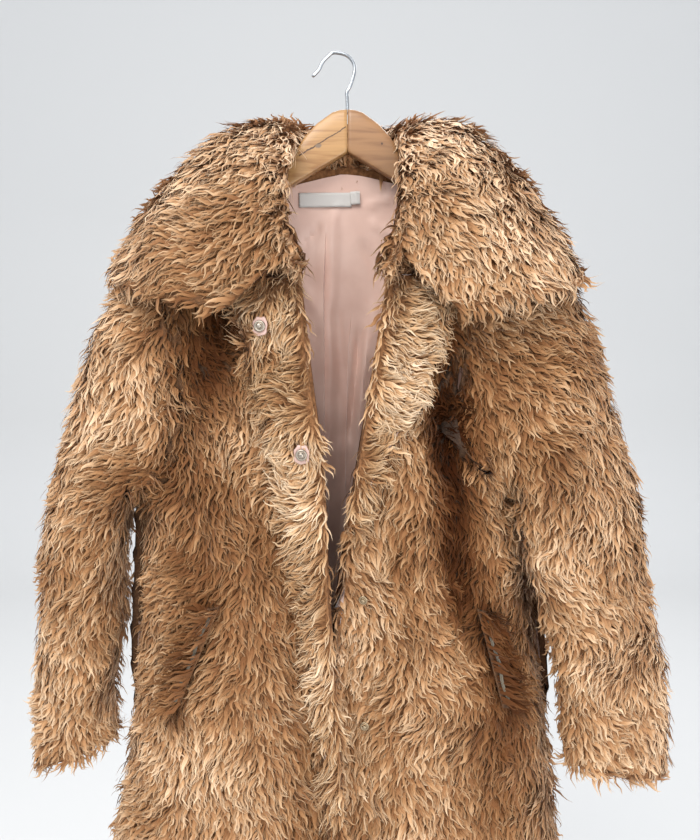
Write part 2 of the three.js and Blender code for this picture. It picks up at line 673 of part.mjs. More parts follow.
// Moves a sleeve point out to the side or front of the body, where the sleeve hangs against it
function clearOfBody(point, side, along) {
  const near = 1 - smoothstep(point.z, ARMPIT_Z, ARMPIT_Z + CLEAR_FADE.height);
  if (near === 0) {
    return;
  }
  const face = point.y < 0 ? 'front' : 'back';
  const halfWidth = Math.abs(readTable(BODY_SIDES, 'z', side, point.z) - CENTRE_X);
  const depth = readTable(BODY_DEPTH, 'drop', face, ridgeZ(CENTRE_X) - point.z);
  const dx = Math.abs(point.x - CENTRE_X);
  const dy = Math.abs(point.y);
  const inside = ((dx / halfWidth) ** SIDE_POWER + (dy / depth) ** SIDE_POWER) ** (1 / SIDE_POWER);
  const clear = 1 + (SLEEVE_CLEAR * smoothstep(along, 0, CLEAR_FADE.full)) / Math.hypot(dx, dy);
  if (inside < clear) {
    const grow = lerp(1, clear / inside, near * smoothstep(along, 0, CLEAR_FADE.start));
    point.setX(CENTRE_X + (point.x - CENTRE_X) * grow);
    point.setY(point.y * grow);
  }
}

// The ring's front lies a quarter turn from the shoulder
const FRONT_OF_RING = 0.25;

function sleeve(side) {
  const around = 2 * ROWS_ABOVE;
  const grid = rows(SLEEVE_RINGS, (j) => {
    const along = (j / SLEEVE_RINGS) ** RING_CROWDING;
    const ring = rows(around - 1, (k) => sleevePoint(side, along, k));
    const middle = ring.reduce((sum, point) => sum.add(point), new THREE.Vector3()).divideScalar(around);
    ring.forEach((point, k) => {
      let push = 0;
      for (const crease of SLEEVE_CREASES) {
        const place = crease.along + crease.turn * (k / around - FRONT_OF_RING);
        push += crease.push * Math.exp(-(((along - place) / crease.width) ** 2));
      }
      const outwards = point.clone().sub(middle).normalize();
      point.addScaledVector(outwards, push * smoothstep(along, CREASE_START.from, CREASE_START.to));
      clearOfBody(point, side, along);
    });
    return side === 'left' ? ring.reverse() : ring;
  });
  const outer = ARMHOLE[side].side;
  // The pile is flattened where it enters the armhole seam
  const wall = (j) => lerp(SEAM_WALL, FUR_WALL, Math.min(j / HELD_RINGS, 1));
  return cloth(grid, wall, {
    wraps: true,
    inward: (j, i, behind) => {
      const opposite = grid[j][(i + ROWS_ABOVE) % around];
      const towardsMiddle = opposite.clone().sub(grid[j][i]).normalize();
      const turned = behind.lerp(towardsMiddle, HELD_TURN * Math.max(1 - j / HELD_RINGS, 0));
      return j === 0 && turned.x * outer < 0 ? turned.setX(0) : turned;
    },
    hold: (j, i, inside) => {
      const seamX = grid[0][i].x + outer * SEAM_STEP * Math.min(j, HELD_STEPS);
      return j < HELD_RINGS && (inside.x - seamX) * outer < 0 ? inside.setX(seamX) : inside;
    },
  });
}

// The collar in one folded sheet: the fall from its outer edge up to the roll, over the roll, and
// the stand down to the neck seam
function collarColumn(along) {
  const read = (column) => readRings(COLLAR_STATIONS, column, along);
  const roll = new THREE.Vector3(read('rollX'), read('rollY'), read('rollZ'));
  const middle = new THREE.Vector3(read('midX'), read('midY'), read('midZ'));
  const edge = new THREE.Vector3(read('edgeX'), read('edgeY'), read('edgeZ'));
  const fall = rows(COLLAR_FALL_ROWS, (k) => {
    const t = k / COLLAR_FALL_ROWS;
    const first = edge.clone().lerp(middle, t);
    const second = middle.clone().lerp(roll, t);
    const bowed = first.lerp(second, t);
    const through = middle.clone().sub(edge.clone().lerp(roll, 0.5)).multiplyScalar(2 * t * (1 - t));
    return bowed.add(through);
  });
  const outward = edge.clone().sub(roll).setZ(0).normalize();
  const fromMiddle = Math.abs(along - 0.5);
  const back = 1 - Math.min(fromMiddle / STAND_BACK.half, 1);
  const frontShare = smoothstep(fromMiddle, STAND_FRONT.from, STAND_FRONT.to);
  const backShare = smoothstep(back, 0, STAND_BACK.full);
  const drop = STAND_DROP.side + (STAND_DROP.back - STAND_DROP.side) * backShare
    + (STAND_DROP.front - STAND_DROP.side) * frontShare;
  const over = ROLL_STEPS.map((t) => {
    const angle = (Math.PI / 2) * t;
    return roll.clone()
      .addScaledVector(outward, -ROLL_RADIUS * Math.sin(angle))
      .setZ(roll.z - ROLL_RADIUS * (1 - Math.cos(angle)));
  });
  const stand = STAND_STEPS.map((t) => over[2].clone().setZ(over[2].z - drop * t));
  return [...fall, ...over, ...stand].map((point) => point.setZ(point.z - COLLAR_SEAT));
}

function collar() {
  const columns = rows(COLLAR_COLUMNS, (i) => collarColumn(1 - i / COLLAR_COLUMNS));
  const grid = columns[0].map((unused, j) => columns.map((column) => column[j]));
  const fallRow = COLLAR_FALL_ROWS - 2;
  return cloth(grid, (j) => (j < fallRow ? COLLAR_FALL : COLLAR_STAND));
}

// Where a panel's face lies at a place seen from the front
function faceY(panel, x, z) {
  const ray = new THREE.Raycaster(new THREE.Vector3(x, RAY_START_Y, z), new THREE.Vector3(0, 1, 0));
  const hit = ray.intersectObject(panel)[0];
  return hit ? hit.point.y : null;
}

function onFront(side, x, z) {
  const y = faceY(side === 'left' ? frontLeft : frontRight, x, z) ?? frontPoint(side, x, z).y;
  return new THREE.Vector3(x, y, z);
}

// A strip lying on a front panel: from the opening edge outwards over its width, moved out
function strip(side, table, topZ, bottomZ, count) {
  const grid = rows(count, (j) => {
    const z = lerp(bottomZ, topZ, j / count);
    const edge = openingX(side, z) + ARMHOLE[side].side;
    const width = readTable(table, 'z', 'width', z);
    const row = rows(STRIP.columns, (i) => {
      const x = edge + ARMHOLE[side].side * width * (i / STRIP.columns);
      const point = onFront(side, x, z);
      const crown = Math.sin(Math.PI * lerp(STRIP.edge, 1 - STRIP.edge, i / STRIP.columns));
      return point.setY(point.y - STRIP_GAP - FACING_WALL * lerp(STRIP.thin, 1, crown));
    });
    return side === 'left' ? row.reverse() : row;
  });
  const inner = grid.map((row) => row.map((point) => onFront(side, point.x, point.z)
    .add(new THREE.Vector3(0, -STRIP_GAP, 0))));
  return wallGeometry(grid, inner, false);
}

// The lining's face towards the opening, a wall and a gap inside the back's outer surface
function liningY(x, z) {
  const wall = faceY(backPanel, x, z) ?? bodyDepth('back', x, z) - FUR_WALL * SLOPED_WALL;
  const inside = wall - LINING_GAP - LINING_WALL;
  const down = clamp((PLEAT.topZ - z) / (PLEAT.topZ - PLEAT.bottomZ), 0, 1);
  const line = lerp(PLEAT.topX, PLEAT.bottomX, down);
  const offset = x - line;
  const rise = clamp(1 + offset / PLEAT.slope, 0, 1) * clamp(1 - (offset - PLEAT.step) / PLEAT.fall, 0, 1);
  const fade = smoothstep(PLEAT.topZ - z, 0, PLEAT.start) * (1 - smoothstep(down, PLEAT.out, 1));
  return inside - PLEAT.depth * rise * fade;
}

const LINING_REACH = 0.86;
const LINING_ROWS = 18;
const LINING_SHARES = [
  -1, -0.85, -0.68, -0.5, -0.34, -0.22, -0.11, 0, 0.05, 0.16, 0.32, 0.5, 0.68, 0.85, 1,
];

function liningBack() {
  const grid = rows(LINING_ROWS, (j) => {
    const t = 1 - (1 - j / LINING_ROWS) ** LINING_CROWDING;
    const topOf = (x) => Math.min(backTopZ(x) - LINING_TOP, ridgeZ(x) - LINING_BELOW_RIDGE);
    const bottomToTop = (x) => lerp(LINING_HEM_Z, topOf(x), t);
    const height = bottomToTop(CENTRE_X);
    const down = clamp((PLEAT.topZ - height) / (PLEAT.topZ - PLEAT.bottomZ), 0, 1);
    const line = lerp(PLEAT.topX, PLEAT.bottomX, down);
    return LINING_SHARES.map((share) => {
      const side = share < 0 ? 'left' : 'right';
      const sideX = readTable(BODY_SIDES, 'z', side, height);
      const armX = height > ARMPIT_Z ? armholeX(side, 'backBow', armholeShare(height)) : sideX;
      const reach = CENTRE_X + (armX - CENTRE_X) * LINING_REACH;
      const x = lerp(line + PLEAT.step, reach, Math.abs(share));
      const z = bottomToTop(x);
      return new THREE.Vector3(x, liningY(x, z), z);
    });
  });
  const inner = grid.map((row) => row.map((point) => point.clone().setY(point.y + LINING_WALL)));
  return wallGeometry(grid, inner, false);
}

// A small flat piece sewn to a surface, made from that surface's points moved out
function patch(place, halfWidth, halfHeight, wall, surfaceY) {
  const tilt = place.tilt ?? 0;
  const grid = rows(PATCH_GRID.rows, (j) => rows(PATCH_GRID.columns, (i) => {
    const across = lerp(-halfWidth, halfWidth, i / PATCH_GRID.columns);
    const up = lerp(-halfHeight, halfHeight, j / PATCH_GRID.rows);
    const x = place.x + across - up * tilt;
    const z = place.z + up + across * tilt;
    return new THREE.Vector3(x, surfaceY(x, z) - REST_GAP - wall, z);
  }));
  const inner = grid.map((row) => row.map((point) => point.clone().setY(point.y + wall)));
  return wallGeometry(grid, inner, false);
}

const facingY = (x, z) => faceY(facingLeft, x, z);
const rightFrontY = (x, z) => onFront('right', x, z).y;
const onLiningY = (x, z) => faceY(lining, x, z);

// A welt along a slanted pocket, raised from the front's own points
function pocketWelt(side, ends) {
  const crownAt = (share) => Math.sin(Math.PI * lerp(WELT.edge, 1 - WELT.edge, share));
  const grid = rows(WELT.rows, (j) => rows(WELT.columns, (i) => {
    const t = j / WELT.rows;
    const across = lerp(-WELT.halfWidth, WELT.halfWidth, i / WELT.columns);
    const x = lerp(ends.bottomX, ends.topX, t) + across;
    const z = lerp(ends.bottomZ, ends.topZ, t) - across * WELT.slant * ARMHOLE[side].side;
    const crown = crownAt(i / WELT.columns) * crownAt(t);
    const point = onFront(side, x, z);
    return point.setY(point.y - REST_GAP - WELT.base - WELT.wall * crown);
  }));
  const inner = grid.map((row) => row.map((point) => onFront(side, point.x, point.z)
    .add(new THREE.Vector3(0, -REST_GAP, 0))));
  return wallGeometry(grid, inner, false);
}

function snap(place) {
  const profile = SNAP_PROFILE.map((row) => new THREE.Vector2(row.radius, row.height));
  const geometry = new THREE.LatheGeometry(profile, SNAP_SIDES);
  const surface = place.onFacing ? (atX, atZ) => facingY(atX, atZ) - REST_GAP - PATCH.wall : rightFrontY;
  const { x, z } = place;
  const h = SLOPE_SPAN;
  const slopeX = (surface(x + h, z) - surface(x - h, z)) / (2 * h);
  const slopeZ = (surface(x, z + h) - surface(x, z - h)) / (2 * h);
  const out = new THREE.Vector3(slopeX, -1, slopeZ).normalize();
  geometry.applyQuaternion(new THREE.Quaternion().setFromUnitVectors(new THREE.Vector3(0, 1, 0), out));
  const seat = new THREE.Vector3(x, surface(x, z), z).addScaledVector(out, REST_GAP);
  return geometry.translate(seat.x, seat.y, seat.z);
}

function hangerArm(outer) {
  const joint = SEAM_GAP / 2 + HANGER_BEVEL;
  const place = (row) => new THREE.Vector2(outer * Math.max(row.reach, joint), row.z);
  const outline = [...HANGER_TOP, ...HANGER_BOTTOM].map(place);
  const shape = new THREE.Shape(outline);
  const geometry = new THREE.ExtrudeGeometry(shape, {
    depth: HANGER_THICK - 2 * HANGER_BEVEL,
    bevelEnabled: true,
    bevelSize: HANGER_BEVEL,
    bevelThickness: HANGER_BEVEL,
    bevelOffset: 0,
    bevelSegments: 2,
    steps: 1,
  });
  geometry.rotateX(Math.PI / 2);
  return geometry.translate(CENTRE_X, HANGER_THICK / 2 - HANGER_BEVEL, 0);
}

function hangerHook() {
  const points = HOOK_PATH.map((row) => new THREE.Vector3(row.x, 0, row.z));
  points[0].z = HANGER_TOP[0].z + HANGER_BEVEL + REST_GAP;
  const wire = new THREE.Shape(rows(HOOK_SIDES - 1, (k) => {
    const angle = (2 * Math.PI * k) / HOOK_SIDES;
    return new THREE.Vector2(Math.cos(angle) * HOOK_WIRE / 2, Math.sin(angle) * HOOK_WIRE / 2);
  }));
  const geometry = new THREE.ExtrudeGeometry(wire, {
    steps: HOOK_STEPS,
    bevelEnabled: false,
    extrudePath: new THREE.CatmullRomCurve3(points),
  });
  return geometry;
}

// Joins the shared corners of a geometry, so each piece is one closed body
function closed(geometry) {
  geometry.deleteAttribute('normal');
  geometry.deleteAttribute('uv');
  return mergeVertices(geometry, 1e-3);
}

const coat = new THREE.Group();

function addPiece(name, geometry, colour, roughness = 0.95, metalness = 0) {
  const material = new THREE.MeshStandardMaterial({ color: colour, roughness, metalness });
  const solid = closed(geometry);
  solid.computeVertexNormals();
  const mesh = new THREE.Mesh(solid, material);
  mesh.name = name;
  coat.add(mesh);
  return mesh;
}

const frontLeft = addPiece('front_left', front('left'), COLOURS.fur);
const frontRight = addPiece('front_right', front('right'), COLOURS.fur);
const backPanel = addPiece('back', back(), COLOURS.fur);
addPiece('sleeve_left', sleeve('left'), COLOURS.fur);
addPiece('sleeve_right', sleeve('right'), COLOURS.fur);
addPiece('collar', collar(), COLOURS.fur);
const facingStrip = strip('left', FACING_WIDTH, FACING_START_Z, FACING_END_Z, FACING_ROWS);
const facingLeft = addPiece('facing_left', facingStrip, COLOURS.facing);
const lapelStrip = strip('right', LAPEL_WIDTH, LAPEL_START_Z, LAPEL_END_Z, LAPEL_ROWS);
addPiece('lapel_right', lapelStrip, COLOURS.facing);
const lining = addPiece('lining_back', liningBack(), COLOURS.lining, 0.6);
addPiece('label', patch(LABEL, LABEL.width / 2, LABEL.height / 2, LABEL_WALL, onLiningY), COLOURS.label);
addPiece('size_tab', patch(TAB, TAB.width / 2, TAB.height / 2, LABEL_WALL, onLiningY), COLOURS.label);
for (const [name, ends] of Object.entries(POCKET_WELTS)) {
  addPiece(name, pocketWelt(name === 'pocket_left' ? 'left' : 'right', ends), COLOURS.fur);
}
for (const place of SNAPS) {
  if (place.onFacing) {
    const name = place.name.replace('snap', 'snap_patch');
    addPiece(name, patch(place, PATCH.halfWidth, PATCH.halfHeight, PATCH.wall, facingY), COLOURS.lining);
  }
  addPiece(place.name, snap(place), COLOURS.metal, 0.3, 1);
}
addPiece('hanger_left', hangerArm(-1), COLOURS.wood, 0.5);
addPiece('hanger_right', hangerArm(1), COLOURS.wood, 0.5);
addPiece('hanger_hook', hangerHook(), COLOURS.metal, 0.25, 1);

export default coat;
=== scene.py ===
# %% [markdown]
# # A faux fur coat on a wooden hanger
# The coat is worked up in the order in which a maker would see it: the cloth that carries the pile,
# the pile itself, the lining with its label, the snaps and pockets, and the hanger. The frame holds
# the same coat as plain solids, so that every piece here has a true place and size to start from.

import json
import math
from math import cos, exp, pi, sin

import bmesh
import bpy
import numpy as np
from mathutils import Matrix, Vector
from mathutils.bvhtree import BVHTree

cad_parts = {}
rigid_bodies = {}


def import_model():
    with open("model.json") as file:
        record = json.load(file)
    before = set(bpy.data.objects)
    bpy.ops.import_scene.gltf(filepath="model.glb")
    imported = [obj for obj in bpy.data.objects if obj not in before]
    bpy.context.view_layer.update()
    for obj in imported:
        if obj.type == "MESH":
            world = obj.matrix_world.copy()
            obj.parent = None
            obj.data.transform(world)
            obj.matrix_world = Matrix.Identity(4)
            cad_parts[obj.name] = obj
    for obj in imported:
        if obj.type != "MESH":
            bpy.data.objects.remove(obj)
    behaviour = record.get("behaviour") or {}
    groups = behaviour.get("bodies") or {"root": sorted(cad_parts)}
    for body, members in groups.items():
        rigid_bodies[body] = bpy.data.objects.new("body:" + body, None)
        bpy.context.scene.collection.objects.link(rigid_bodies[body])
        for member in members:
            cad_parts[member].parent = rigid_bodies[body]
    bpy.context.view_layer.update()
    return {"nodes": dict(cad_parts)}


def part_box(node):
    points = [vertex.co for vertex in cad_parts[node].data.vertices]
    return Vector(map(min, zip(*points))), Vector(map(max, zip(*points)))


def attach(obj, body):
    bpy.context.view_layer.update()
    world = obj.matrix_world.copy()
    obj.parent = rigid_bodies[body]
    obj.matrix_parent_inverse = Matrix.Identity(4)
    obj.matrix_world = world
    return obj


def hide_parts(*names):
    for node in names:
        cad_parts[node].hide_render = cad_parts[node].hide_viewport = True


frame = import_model()
nodes = frame["nodes"]
print("frame pieces:", ", ".join(sorted(nodes)))

# %% [markdown]
# Sizes are in metres. The middle of the coat lies a little to the right of the hook, because the
# hook leans, so the pieces that are worked out from the middle use this place.

# %% Shared sizes
MIDDLE_X = 0.014
ARMPIT_Z = -0.460
PILE_DEPTH = 0.011
SEED = 7


def clamp(value, low=0.0, high=1.0):
    return max(low, min(high, value))


def ease(value, low, high):
    t = clamp((value - low) / (high - low))
    return t * t * (3 - 2 * t)


# %% [markdown]
# ## Colour that several finishes share
# A shader node group is built once and placed in each material with its own values. This one gives
# fur its colour: dark at the root, light at the tip, a little different from lock to lock, and
# darker where the surface's tone says that the pile parts: partly the pile's darker base showing,
# partly painted shade of the hollow. The locks carry the numbers that it reads.

# %% Node helpers


def add(tree, kind, **settings):
    node = tree.nodes.new(kind)
    for name, value in settings.items():
        setattr(node, name, value)
    return node


def join(tree, start, end):
    tree.links.new(start, end)


def new_material(name):
    material = bpy.data.materials.new(name)
    material.use_nodes = True
    shader = material.node_tree.nodes["Principled BSDF"]
    return material, material.node_tree, shader


def ramp_colours(ramp, stops):
    while len(ramp.color_ramp.elements) < len(stops):
        ramp.color_ramp.elements.new(0.5)
    for element, (place, colour) in zip(ramp.color_ramp.elements, stops):
        element.position = place
        element.color = (*colour, 1)


def attribute(tree, name):
    return add(tree, "ShaderNodeAttribute", attribute_name=name)


# %% Fur colour group


def fur_colour_group():
    tree = bpy.data.node_groups.new("Fur colour", "ShaderNodeTree")
    face = tree.interface
    for name, kind in [
        ("Root", "NodeSocketColor"),
        ("Middle", "NodeSocketColor"),
        ("Tip", "NodeSocketColor"),
        ("Along", "NodeSocketFloat"),
        ("Lock", "NodeSocketFloat"),
        ("Tone", "NodeSocketFloat"),
        ("Across", "NodeSocketFloat"),
    ]:
        face.new_socket(name, in_out="INPUT", socket_type=kind)
    face.new_socket("Color", in_out="OUTPUT", socket_type="NodeSocketColor")
    face.new_socket("Height", in_out="OUTPUT", socket_type="NodeSocketFloat")
    given = add(tree, "NodeGroupInput")
    out = add(tree, "NodeGroupOutput")
    # Place along the lock, moved up or down a little from lock to lock
    spread = add(tree, "ShaderNodeMath", operation="MULTIPLY_ADD")
    spread.inputs[1].default_value = 0.5
    spread.inputs[2].default_value = -0.25
    join(tree, given.outputs["Lock"], spread.inputs[0])
    # Amber patches and painted shade: a low tone slides the colour towards the root
    amber_and_painted_shade = add(tree, "ShaderNodeMath", operation="MULTIPLY_ADD")
    amber_and_painted_shade.inputs[1].default_value = 0.8
    amber_and_painted_shade.inputs[2].default_value = -0.8
    join(tree, given.outputs["Tone"], amber_and_painted_shade.inputs[0])
    moved = add(tree, "ShaderNodeMath", operation="ADD")
    join(tree, spread.outputs[0], moved.inputs[0])
    join(tree, amber_and_painted_shade.outputs[0], moved.inputs[1])
    place = add(tree, "ShaderNodeMath", operation="ADD", use_clamp=True)
    join(tree, given.outputs["Along"], place.inputs[0])
    join(tree, moved.outputs[0], place.inputs[1])
    low = add(tree, "ShaderNodeMapRange")
    low.inputs["From Min"].default_value = 0.0
    low.inputs["From Max"].default_value = 0.5
    high = add(tree, "ShaderNodeMapRange")
    high.inputs["From Min"].default_value = 0.45
    high.inputs["From Max"].default_value = 1.0
    root_to_middle = add(tree, "ShaderNodeMix", data_type="RGBA")
    to_tip = add(tree, "ShaderNodeMix", data_type="RGBA")
    for reader, mix in [(low, root_to_middle), (high, to_tip)]:
        join(tree, place.outputs[0], reader.inputs["Value"])
        join(tree, reader.outputs["Result"], mix.inputs["Factor"])
    join(tree, given.outputs["Root"], root_to_middle.inputs[6])
    join(tree, given.outputs["Middle"], root_to_middle.inputs[7])
    join(tree, root_to_middle.outputs[2], to_tip.inputs[6])
    join(tree, given.outputs["Tip"], to_tip.inputs[7])
    # Fine strands run side by side across the lock
    strands = add(tree, "ShaderNodeTexNoise", noise_dimensions="2D")
    strands.inputs["Scale"].default_value = 1.0
    strands.inputs["Detail"].default_value = 2.0
    spot = add(tree, "ShaderNodeCombineXYZ")
    stretch = add(tree, "ShaderNodeMath", operation="MULTIPLY")
    stretch.inputs[1].default_value = 7.0
    shift = add(tree, "ShaderNodeMath", operation="MULTIPLY")
    shift.inputs[1].default_value = 61.0
    join(tree, given.outputs["Across"], stretch.inputs[0])
    join(tree, given.outputs["Lock"], shift.inputs[0])
    sideways = add(tree, "ShaderNodeMath", operation="ADD")
    join(tree, stretch.outputs[0], sideways.inputs[0])
    join(tree, shift.outputs[0], sideways.inputs[1])
    join(tree, sideways.outputs[0], spot.inputs[0])
    join(tree, given.outputs["Along"], spot.inputs[1])
    join(tree, spot.outputs[0], strands.inputs["Vector"])
    stripe = add(tree, "ShaderNodeMapRange")
    stripe.inputs["From Min"].default_value = 0.3
    stripe.inputs["From Max"].default_value = 0.7
    stripe.inputs["To Min"].default_value = 0.80
    stripe.inputs["To Max"].default_value = 1.14
    join(tree, strands.outputs["Fac"], stripe.inputs["Value"])
    tone_and_painted_light = add(tree, "ShaderNodeMath", operation="MULTIPLY")
    join(tree, stripe.outputs["Result"], tone_and_painted_light.inputs[0])
    join(tree, given.outputs["Tone"], tone_and_painted_light.inputs[1])
    # Where the pile is in its own shade it turns richer as well as darker
    tint = add(tree, "ShaderNodeCombineXYZ")
    for number, power in enumerate((1.0, 1.25, 1.6)):
        channel = add(tree, "ShaderNodeMath", operation="POWER")
        channel.inputs[1].default_value = power
        join(tree, tone_and_painted_light.outputs[0], channel.inputs[0])
        join(tree, channel.outputs[0], tint.inputs[number])
    shade = add(tree, "ShaderNodeVectorMath", operation="MULTIPLY")
    join(tree, to_tip.outputs[2], shade.inputs[0])
    join(tree, tint.outputs[0], shade.inputs[1])
    join(tree, shade.outputs[0], out.inputs["Color"])
    # The lock's back is rounded, and the strands ripple it
    offset = add(tree, "ShaderNodeMath", operation="SUBTRACT")
    offset.inputs[1].default_value = 0.5
    join(tree, given.outputs["Across"], offset.inputs[0])
    square = add(tree, "ShaderNodeMath", operation="MULTIPLY")
    join(tree, offset.outputs[0], square.inputs[0])
    join(tree, offset.outputs[0], square.inputs[1])
    crown = add(tree, "ShaderNodeMath", operation="MULTIPLY_ADD")
    crown.inputs[1].default_value = -4.0
    join(tree, square.outputs[0], crown.inputs[0])
    join(tree, strands.outputs["Fac"], crown.inputs[2])
    join(tree, crown.outputs[0], out.inputs["Height"])
    return tree


FUR_COLOUR = fur_colour_group()
print("fur colour group:", len(FUR_COLOUR.nodes), "nodes")


# %% [markdown]
# ## Materials
# Real pile is matt, with a soft sheen at its edges. Satin is smooth and shows broad soft lights. A
# cloth finish reads Object coordinates, in metres, so that its weave keeps its true size.

# %% Fur finishes


def faded(tree, shader, strengths):
    """Sheen and gloss fade where the tone attribute is low, as in the painted shade of a hollow."""
    tone_and_painted_light = attribute(tree, "tone_and_painted_light")
    for name, strength in strengths.items():
        share = add(tree, "ShaderNodeMath", operation="MULTIPLY")
        share.inputs[1].default_value = strength
        share.use_clamp = True
        join(tree, tone_and_painted_light.outputs["Fac"], share.inputs[0])
        join(tree, share.outputs[0], shader.inputs[name])


def fur_material(name, root, middle, tip, sheen=0.25):
    material, tree, shader = new_material(name)
    shader.inputs["Roughness"].default_value = 0.62
    faded(tree, shader, {"Sheen Weight": sheen, "Specular IOR Level": 0.35})
    shader.inputs["Sheen Roughness"].default_value = 0.5
    shader.inputs["Sheen Tint"].default_value = (1.0, 0.86, 0.7, 1)
    group = add(tree, "ShaderNodeGroup", node_tree=FUR_COLOUR)
    group.inputs["Root"].default_value = (*root, 1)
    group.inputs["Middle"].default_value = (*middle, 1)
    group.inputs["Tip"].default_value = (*tip, 1)
    join(tree, attribute(tree, "along").outputs["Fac"], group.inputs["Along"])
    join(tree, attribute(tree, "lock").outputs["Fac"], group.inputs["Lock"])
    join(tree, attribute(tree, "tone_and_painted_light").outputs["Fac"], group.inputs["Tone"])
    join(tree, attribute(tree, "across").outputs["Fac"], group.inputs["Across"])
    bump = add(tree, "ShaderNodeBump")
    bump.inputs["Strength"].default_value = 0.7
    bump.inputs["Distance"].default_value = 0.0008
    join(tree, group.outputs["Height"], bump.inputs["Height"])
    join(tree, group.outputs["Color"], shader.inputs["Base Color"])
    join(tree, bump.outputs["Normal"], shader.inputs["Normal"])
    return material


def fur_ground_material(name, dark, light):
    material, tree, shader = new_material(name)
    shader.inputs["Roughness"].default_value = 0.9
    coordinates = add(tree, "ShaderNodeTexCoord")
    noise = add(tree, "ShaderNodeTexNoise")
    noise.inputs["Scale"].default_value = 260
    noise.inputs["Detail"].default_value = 4
    join(tree, coordinates.outputs["Object"], noise.inputs["Vector"])
    ramp = add(tree, "ShaderNodeValToRGB")
    ramp_colours(ramp, [(0.35, dark), (0.7, light)])
    join(tree, noise.outputs["Fac"], ramp.inputs["Fac"])
    bump = add(tree, "ShaderNodeBump")
    bump.inputs["Strength"].default_value = 0.8
    bump.inputs["Distance"].default_value = 0.002
    join(tree, noise.outputs["Fac"], bump.inputs["Height"])
    # The tone attribute darkens the backing, its painted shade included
    toned = add(tree, "ShaderNodeVectorMath", operation="SCALE")
    join(tree, ramp.outputs["Color"], toned.inputs[0])
    join(tree, attribute(tree, "tone_and_painted_light").outputs["Fac"], toned.inputs["Scale"])
    join(tree, toned.outputs[0], shader.inputs["Base Color"])
    join(tree, bump.outputs["Normal"], shader.inputs["Normal"])
    return material


FUR = fur_material("Fur locks", (0.31, 0.132, 0.044), (0.51, 0.268, 0.117), (0.80, 0.555, 0.34))
FACING_FUR = fur_material(
    "Facing fur locks", (0.38, 0.175, 0.065), (0.63, 0.37, 0.18), (0.90, 0.68, 0.45)
)
# The backing shows in the gaps between locks: its colours are the roots' brown, made darker as painted shade of the
# depth there
FUR_GROUND = fur_ground_material("Fur ground", (0.16, 0.064, 0.020), (0.32, 0.145, 0.053))


# %% Satin, label, wood and metal finishes


def satin_material(name, colour, dark, painted_shade_at_foot=1.0):
    material, tree, shader = new_material(name)
    shader.inputs["Roughness"].default_value = 0.42
    shader.inputs["Sheen Weight"].default_value = 0.3
    shader.inputs["Sheen Roughness"].default_value = 0.35
    coordinates = add(tree, "ShaderNodeTexCoord")
    weave = add(tree, "ShaderNodeTexNoise")
    weave.inputs["Scale"].default_value = 1
    weave.inputs["Detail"].default_value = 3
    stretch = add(tree, "ShaderNodeMapping")
    stretch.inputs["Scale"].default_value = (900, 900, 160)
    join(tree, coordinates.outputs["Object"], stretch.inputs["Vector"])
    join(tree, stretch.outputs["Vector"], weave.inputs["Vector"])
    cloud = add(tree, "ShaderNodeTexNoise")
    cloud.inputs["Scale"].default_value = 22
    cloud.inputs["Detail"].default_value = 3
    join(tree, coordinates.outputs["Object"], cloud.inputs["Vector"])
    ramp = add(tree, "ShaderNodeValToRGB")
    ramp_colours(ramp, [(0.3, dark), (0.7, colour)])
    join(tree, cloud.outputs["Fac"], ramp.inputs["Fac"])
    # Painted shade: the colour is darkened towards the bottom, from z -0.30 down to z -0.56, where the lower lining
    # lies in the shade of the fronts
    height = add(tree, "ShaderNodeSeparateXYZ")
    join(tree, coordinates.outputs["Object"], height.inputs[0])
    painted_shade_by_height = add(tree, "ShaderNodeMapRange", interpolation_type="SMOOTHSTEP")
    painted_shade_by_height.inputs["From Min"].default_value = -0.56
    painted_shade_by_height.inputs["From Max"].default_value = -0.30
    painted_shade_by_height.inputs["To Min"].default_value = painted_shade_at_foot
    painted_shade_by_height.inputs["To Max"].default_value = 1.0
    join(tree, height.outputs[2], painted_shade_by_height.inputs["Value"])
    toned = add(tree, "ShaderNodeVectorMath", operation="SCALE")
    join(tree, ramp.outputs["Color"], toned.inputs[0])
    join(tree, painted_shade_by_height.outputs["Result"], toned.inputs["Scale"])
    bump = add(tree, "ShaderNodeBump")
    bump.inputs["Strength"].default_value = 0.12
    bump.inputs["Distance"].default_value = 0.0004
    join(tree, weave.outputs["Fac"], bump.inputs["Height"])
    join(tree, toned.outputs[0], shader.inputs["Base Color"])
    join(tree, bump.outputs["Normal"], shader.inputs["Normal"])
    return material


# The lining is painted down to 0.55 of its colour at its foot, as painted shade
LINING_SATIN = satin_material("Lining satin", (0.86, 0.61, 0.51), (0.73, 0.48, 0.39), 0.55)
PATCH_SATIN = satin_material("Snap patch satin", (0.62, 0.42, 0.36), (0.50, 0.32, 0.26))
# Near black: the pocket cloth's edge, painted dark as the shade inside the slit
POCKET_EDGE = satin_material("Pocket edge", (0.13, 0.10, 0.06), (0.06, 0.045, 0.028))


def label_material():
    material, tree, shader = new_material("Label tape")
    shader.inputs["Roughness"].default_value = 0.6
    coordinates = add(tree, "ShaderNodeTexCoord")
    ribs = add(tree, "ShaderNodeTexWave", bands_direction="Z")
    ribs.inputs["Scale"].default_value = 500
    ribs.inputs["Distortion"].default_value = 0.6
    join(tree, coordinates.outputs["Object"], ribs.inputs["Vector"])
    ramp = add(tree, "ShaderNodeValToRGB")
    ramp_colours(ramp, [(0.0, (0.56, 0.53, 0.49)), (1.0, (0.68, 0.655, 0.62))])
    join(tree, ribs.outputs["Fac"], ramp.inputs["Fac"])
    bump = add(tree, "ShaderNodeBump")
    bump.inputs["Strength"].default_value = 0.25
    bump.inputs["Distance"].default_value = 0.0002
    join(tree, ribs.outputs["Fac"], bump.inputs["Height"])
    join(tree, ramp.outputs["Color"], shader.inputs["Base Color"])
    join(tree, bump.outputs["Normal"], shader.inputs["Normal"])
    return material


